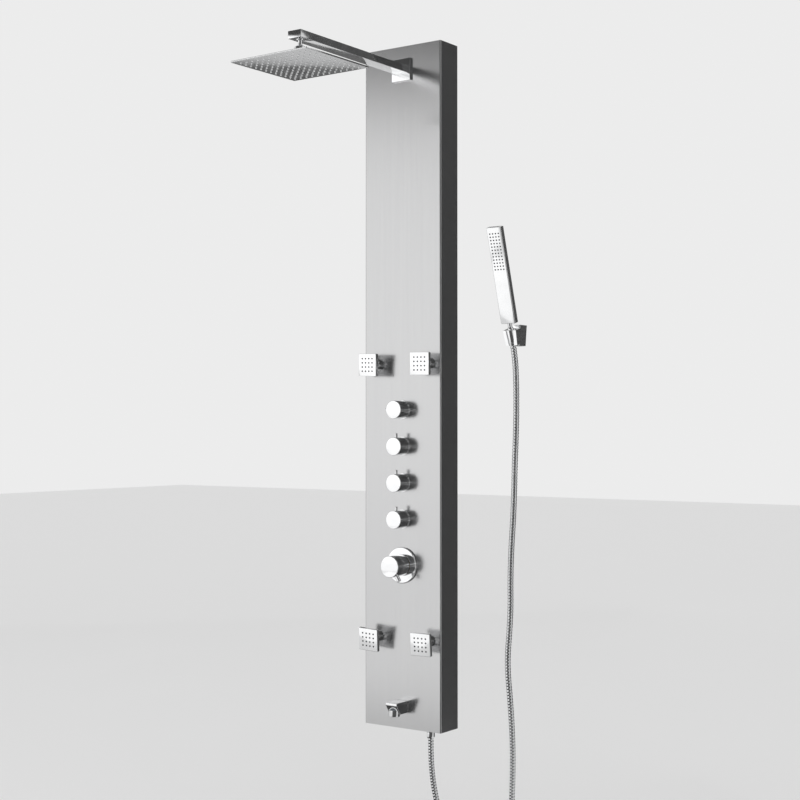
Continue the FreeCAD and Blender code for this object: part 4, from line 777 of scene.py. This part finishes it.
buildPiece("jetSocketPieces", sockets, "panel", "bare_brass", ["jet_sockets"],
           finish=finishes["polished_chrome"])
inside = trayFront + tailShape["sheet"]
nuts = [nutPart(tailShape["nutFlats"], r + play, (x, inside, z), yAxis, tailShape["nutThickness"])
        for x, z, side in tails]
buildPiece("tailNutPieces", nuts, "panel", "bare_brass", ["tail_nuts"])

brassShape = {
    "galleryY": -26.0, "galleryRadius": 11.0, "bossRadius": 14.5, "mixerBoss": 23.0, "portRadius": 8.5,
    "portReach": 20.0, "pipeY": -43.0, "pipeRadius": 6.0, "bend": 20.0, "solder": 8.0, "elbowRadius": 13.0,
    "elbowFront": -60.0, "elbowBack": -32.0, "elbowReach": 22.0, "blockWidth": 71.0, "blockFront": -48.0,
    "blockBack": -25.0, "inletSpacing": 50.0, "inletTip": -13.0, "inletDrop": 14.5, "underInlet": 1.5,
    "blockCorner": 4.0, "blockEdge": 2.0, "waist": 0.8, "inletChamfer": 0.9, "inletPlain": 1.5,
    "inletEnd": 1.2, "cupWaist": 0.9, "pipeHole": 6.0, "elbowPlay": 0.12, "elbowWaist": 1.0,
    "sidePipe": 42.0, "spoutLevel": 130.0, "handLevel": 110.0, "handStep": 40.0,
    "teeRadius": 7.2, "teeHalf": 13.0, "teeBranch": 14.0,
}
knobLevels = [trayFoot + height for height in knobShape["heights"]]
galleryFoot = mixerZ - brassShape["mixerBoss"]
galleryLength = knobLevels[0] + brassShape["bossRadius"] - galleryFoot
r = brassShape["galleryRadius"]
gallery = [(0, 0, 0), (r, 0, 2.0), (r, galleryLength, 2.5), (0, galleryLength, 0)]
skins = [turnedPart(gallery, (0, brassShape["galleryY"], galleryFoot), zAxis, 48, 7)]
depth = brassShape["galleryY"] - inside
for z, r in [(z, brassShape["bossRadius"]) for z in knobLevels] + [(mixerZ, brassShape["mixerBoss"])]:
    waist = r - brassShape["waist"]
    boss = [(0, 0, 0), (r, 0, 2.2), (r, 9.0, 0.6), (waist, 10.0, 0.4), (waist, depth - 9.0, 0.4),
            (r, depth - 8.0, 0.6), (r, depth, 0), (0, depth, 0)]
    skins.append(turnedPart(boss, (0, brassShape["galleryY"], z), -yAxis, 56, 6))
ports = [(0, zAxis), (1, -xAxis), (1, xAxis), (2, -xAxis), (3, xAxis)]   # which valve, and which way out


# A solder cup: a neck that swells to a rim, with the pipe's hole in its end.
def cupPart(reach, x, z, side):
    radius, pipe = brassShape["portRadius"], brassShape["pipeRadius"]
    neck, floor = radius - brassShape["cupWaist"], reach - brassShape["pipeHole"]
    rows = [(0, 2.0, 0), (neck, 2.0, 0), (neck, reach - 10.0, 0.8), (radius, reach - 9.0, 0.5),
            (radius, reach, 0.7), (pipe, reach, 0.2), (pipe, floor, 0), (0, floor, 0)]
    return turnedPart(rows, (x, brassShape["pipeY"], z), side, 40)


skins += [cupPart(brassShape["portReach"], 0, knobLevels[row], side) for row, side in ports]
inletZ = galleryFoot - brassShape["inletDrop"]
blockFoot = inletZ - tailShape["radius"] - brassShape["underInlet"]
blockMiddle = (brassShape["blockFront"] + brassShape["blockBack"]) / 2
blockHeight = mixerZ - brassShape["mixerBoss"] / 2 - blockFoot
blockDepth = brassShape["blockBack"] - brassShape["blockFront"]
manifold = softBar((0, blockMiddle, blockFoot), zAxis, xAxis, blockHeight, brassShape["blockWidth"],
                   blockDepth, brassShape["blockCorner"], brassShape["blockEdge"])
skins.append((manifold, "flat"))
r, bore = tailShape["radius"], tailShape["bore"]
reach = brassShape["inletTip"] - brassShape["blockBack"]
rim = r - brassShape["inletChamfer"]
threadStart, threadStop = brassShape["inletPlain"], reach - brassShape["inletEnd"]
pin = [(r, -1.0), (r, threadStart), (r, threadStop), (rim, reach)]
hollow = turnedSkin([(rim, reach), (bore, reach), (bore, 0.5), (0, 0.5)], (0, 0, 0), yAxis, 48)
for side in (-0.5, 0.5):
    place = np.array([side * brassShape["inletSpacing"], brassShape["blockBack"], inletZ])
    thread = threadedSkin(pin, place, yAxis, threadStart, threadStop)
    skins.append((np.concatenate([thread, hollow[1:] + place]), "open"))
buildPiece("valveBodyPiece", skins, "panel", "bare_brass", ["valve_body"])

r, length = brassShape["elbowRadius"], brassShape["elbowBack"] - brassShape["elbowFront"]
mouthRadius, waist = tailShape["radius"] + brassShape["elbowPlay"], r - brassShape["elbowWaist"]
elbow = [(mouthRadius, 4.0, 0), (mouthRadius, 0, 0), (r, 0, 0.8), (r, 7.0, 0.6), (waist, 8.2, 0.6),
         (waist, length - 2.0, 3.0), (8.0, length, 2.0), (0, length, 0)]
skins = []
for x, z, side in tails:
    skins.append(turnedPart(elbow, (x, brassShape["elbowFront"], z), yAxis, 56, 6))
    skins.append(cupPart(brassShape["elbowReach"], x, z, side))
buildPiece("elbowPieces", skins, "panel", "bare_brass", ["pipe_elbows"])

r, flange, way, rim = [outletShape[key] for key in ("radius", "flange", "way", "rim")]
low, high, deep = outletShape["low"], outletShape["high"], outletShape["floor"]
threadStart, threadStop = outletShape["thread"]
fitting = [(r, low), (r, -2.01), (flange - 0.3, -2.0), (flange, -1.7), (flange, -0.01),
           (r, 0.0), (r, threadStart), (r, threadStop), (r, high - 1.0), (rim, high)]
fittingSkin = threadedSkin(fitting, outletFoot, zAxis, threadStart, threadStop, outletShape["pitch"],
                           outletShape["groove"])
top = turnedSkin([(rim, high), (way, high), (way, deep), (0, deep)], outletFoot, zAxis, 48)
foot = turnedSkin([(0, low)], outletFoot, zAxis, 48)
buildPiece("handOutletPiece", [(np.concatenate([foot, fittingSkin, top[1:]]), "open")], "panel",
           "bare_brass", ["hand_outlet"])
nutFoot = (outletShape["x"], outletShape["y"], trayFoot + tailShape["sheet"])
locknut = nutPart(outletShape["nutFlats"], r + play, nutFoot, zAxis, tailShape["nutThickness"])
buildPiece("outletNutPiece", [locknut], "panel", "bare_brass", ["outlet_locknut"])

pipeY, pipeRadius = brassShape["pipeY"], brassShape["pipeRadius"]
cupStart = brassShape["portReach"] - brassShape["solder"]
elbowStart = brassShape["elbowReach"] - brassShape["solder"]
sidePipe, handX, handY = brassShape["sidePipe"], outletShape["x"], outletShape["y"]
spoutLevel, handLevel = trayFoot + brassShape["spoutLevel"], trayFoot + brassShape["handLevel"]
pipeRoutes = {
    "head": [(0, pipeY, knobLevels[0] + cupStart), (0, pipeY, armShape["z"] - elbowStart)],
    "spout": [(-cupStart, pipeY, knobLevels[2]), (-sidePipe, pipeY, knobLevels[2]),
              (-sidePipe, pipeY, spoutLevel), (0, pipeY, spoutLevel), (0, pipeY, spoutMiddle + elbowStart)],
    "hand": [(cupStart, pipeY, knobLevels[3]), (sidePipe, pipeY, knobLevels[3]), (sidePipe, pipeY, handLevel),
             (handX, handY, handLevel - brassShape["handStep"]),
             (handX, handY, trayFoot + high - brassShape["solder"])],
}
for name, corners in pipeRoutes.items():
    pipe = tubeSkin(bentPath(corners, brassShape["bend"]), pipeRadius, yAxis)
    buildPiece("pipePiece_" + name, [(pipe, "flat")], "panel", "copper_tube", ["pipe_" + name])

# each side's jets hang on one riser, fed from the second valve through a tee
r, half, reach = brassShape["teeRadius"], brassShape["teeHalf"], brassShape["teeBranch"]
tee = [(0, -half, 0), (r, -half, 0.5), (r, half, 0.5), (0, half, 0)]
branch = [(0, 0, 0), (r, 0, 0), (r, reach, 0.5), (0, reach, 0)]
for name, side in (("left", -1), ("right", 1)):
    x, upperJet = jetPlaces["upper_" + name][:2]
    lowerJet = jetPlaces["lower_" + name][1]
    junction = (x, pipeY, knobLevels[1])
    riser = tubeSkin([(x, pipeY, trayFoot + lowerJet + elbowStart),
                      (x, pipeY, trayFoot + upperJet - elbowStart)], pipeRadius, yAxis)
    feed = tubeSkin([(side * cupStart, pipeY, knobLevels[1]), junction], pipeRadius, yAxis)
    skins = [(riser, "flat"), (feed, "flat"), turnedPart(tee, junction, zAxis, 32),
             turnedPart(branch, junction, -side * xAxis, 32)]
    buildPiece("pipePiece_jets_" + name, skins, "panel", "copper_tube", ["pipe_jets_" + name])
print("valve body, elbows and pipes made")

# from here on sizes are in metres
stageShape = {
    "floor": -1.745, "size": 30.0, "floorColour": (0.86, 0.86, 0.86), "background": (0.84, 0.84, 0.84),
    "fill": (0.82, 0.82, 0.82), "paper": 3.0, "roughness": (0.85, 0.95),
}
bpy.ops.mesh.primitive_plane_add(size=stageShape["size"], location=(0, 0, stageShape["floor"]))
floor = bpy.context.object
floor.name = "studioFloor"
floorFinish, nodes, links, shader = startFinish("floorPaper", stageShape["floorColour"], 0.0, 0.9)
paper = addNoise(nodes, links, stageShape["paper"], 2.0)
links.new(addRange(nodes, links, paper, *stageShape["roughness"]), shader.inputs["Roughness"])
floor.data.materials.append(floorFinish)
floor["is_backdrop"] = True

world = bpy.data.worlds.new("studioWorld")
bpy.context.scene.world = world
world.use_nodes = True
nodes, links = world.node_tree.nodes, world.node_tree.links
nodes.clear()
rays = nodes.new("ShaderNodeLightPath")
seen, shown = nodes.new("ShaderNodeMath"), nodes.new("ShaderNodeMath")
seen.operation = shown.operation = "MAXIMUM"
fill, backdrop = nodes.new("ShaderNodeBackground"), nodes.new("ShaderNodeBackground")
fill.inputs["Color"].default_value = (*stageShape["fill"], 1.0)
backdrop.inputs["Color"].default_value = (*stageShape["background"], 1.0)
mix, output = nodes.new("ShaderNodeMixShader"), nodes.new("ShaderNodeOutputWorld")
for start, stop in (
        (rays.outputs["Is Camera Ray"], seen.inputs[0]), (rays.outputs["Is Glossy Ray"], seen.inputs[1]),
        (seen.outputs[0], shown.inputs[0]), (rays.outputs["Is Transmission Ray"], shown.inputs[1]),
        (shown.outputs[0], mix.inputs["Fac"]), (fill.outputs[0], mix.inputs[1]),
        (backdrop.outputs[0], mix.inputs[2]), (mix.outputs[0], output.inputs["Surface"])):
    links.new(start, stop)


# Stands a lamp or card in its place, with an axis that points at a target.
def pointAt(thing, place, target, axis):
    thing.location = place
    facing = np.array(target, float) - np.array(place, float)
    thing.rotation_euler = Vector(facing).to_track_quat(axis, "Y").to_euler()


# A soft box that faces a point on the panel.
def addSoftBox(name, place, target, size, watts):
    data = bpy.data.lights.new(name, "AREA")
    data.shape = "RECTANGLE"
    data.size, data.size_y = size
    data.energy = watts
    lamp = bpy.data.objects.new(name, data)
    pointAt(lamp, place, target, "-Z")
    lamp.visible_camera = False
    bpy.context.scene.collection.objects.link(lamp)
    lamp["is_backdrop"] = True


# A dark card that only shows in reflections, to give the polished sides their depth.
def addCard(name, place, target, size, tone):
    bpy.ops.mesh.primitive_plane_add(size=1.0)
    card = bpy.context.object
    card.name = name
    card.scale = (size[0], size[1], 1.0)
    pointAt(card, place, target, "Z")
    card.visible_camera = card.visible_shadow = card.visible_diffuse = False
    card.data.materials.append(startFinish(name + "Cloth", (tone, tone, tone), 0.0, 0.9)[0])
    card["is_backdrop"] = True


# place, the point it faces, its width and height, and its power
lamps = {
    "keyBox": ((-2.5, -3.6, -0.28), (0, 0, -0.6), (2.3, 2.9), 9.3),
    "topBox": ((0.6, -1.6, 2.3), (0.2, -0.1, -0.6), (2.2, 0.3), 5.0),
    "lowBox": ((-1.45, -2.45, -1.7), (-1.45, -2.45, 0.0), (1.8, 1.9), 3.9),
    "stripBox": ((2.6, -3.7, -0.75), (0, 0, -0.75), (2.6, 0.12), 1.6),
}
# the same for the cards, with their tone
cards = {
    "rightCard": ((3.6, -3.3, -0.3), (0, 0, -0.6), (6.4, 5.6), 0.11),
    "frontCard": ((0.8, -4.8, 1.6), (0, 0, -0.5), (4.4, 3.6), 0.09),
    "floorCard": ((1.35, -1.9, -1.72), (1.35, -1.9, 0.0), (3.2, 3.0), 0.08),
    "footCard": ((-0.25, -0.3, -1.72), (-0.25, -0.3, 0.0), (1.0, 0.7), 0.06),
    "sideCard": ((0.65, 0.9, -0.6), (0.1, 0, -0.6), (1.3, 3.2), 0.09),
    "farCard": ((-3.2, 3.0, -0.7), (0, 0, -0.7), (4.4, 5.0), 0.16),
    "highCard": ((-2.6, -3.75, 2.25), (0, 0, 0.4), (4.2, 2.5), 0.07),
    "ceilingCard": ((0.4, -1.2, 2.9), (0.4, -1.2, 0.0), (4.5, 4.5), 0.08),
}
for name, values in lamps.items():
    addSoftBox(name, *values)
for name, values in cards.items():
    addCard(name, *values)
print("stage made")

low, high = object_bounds()
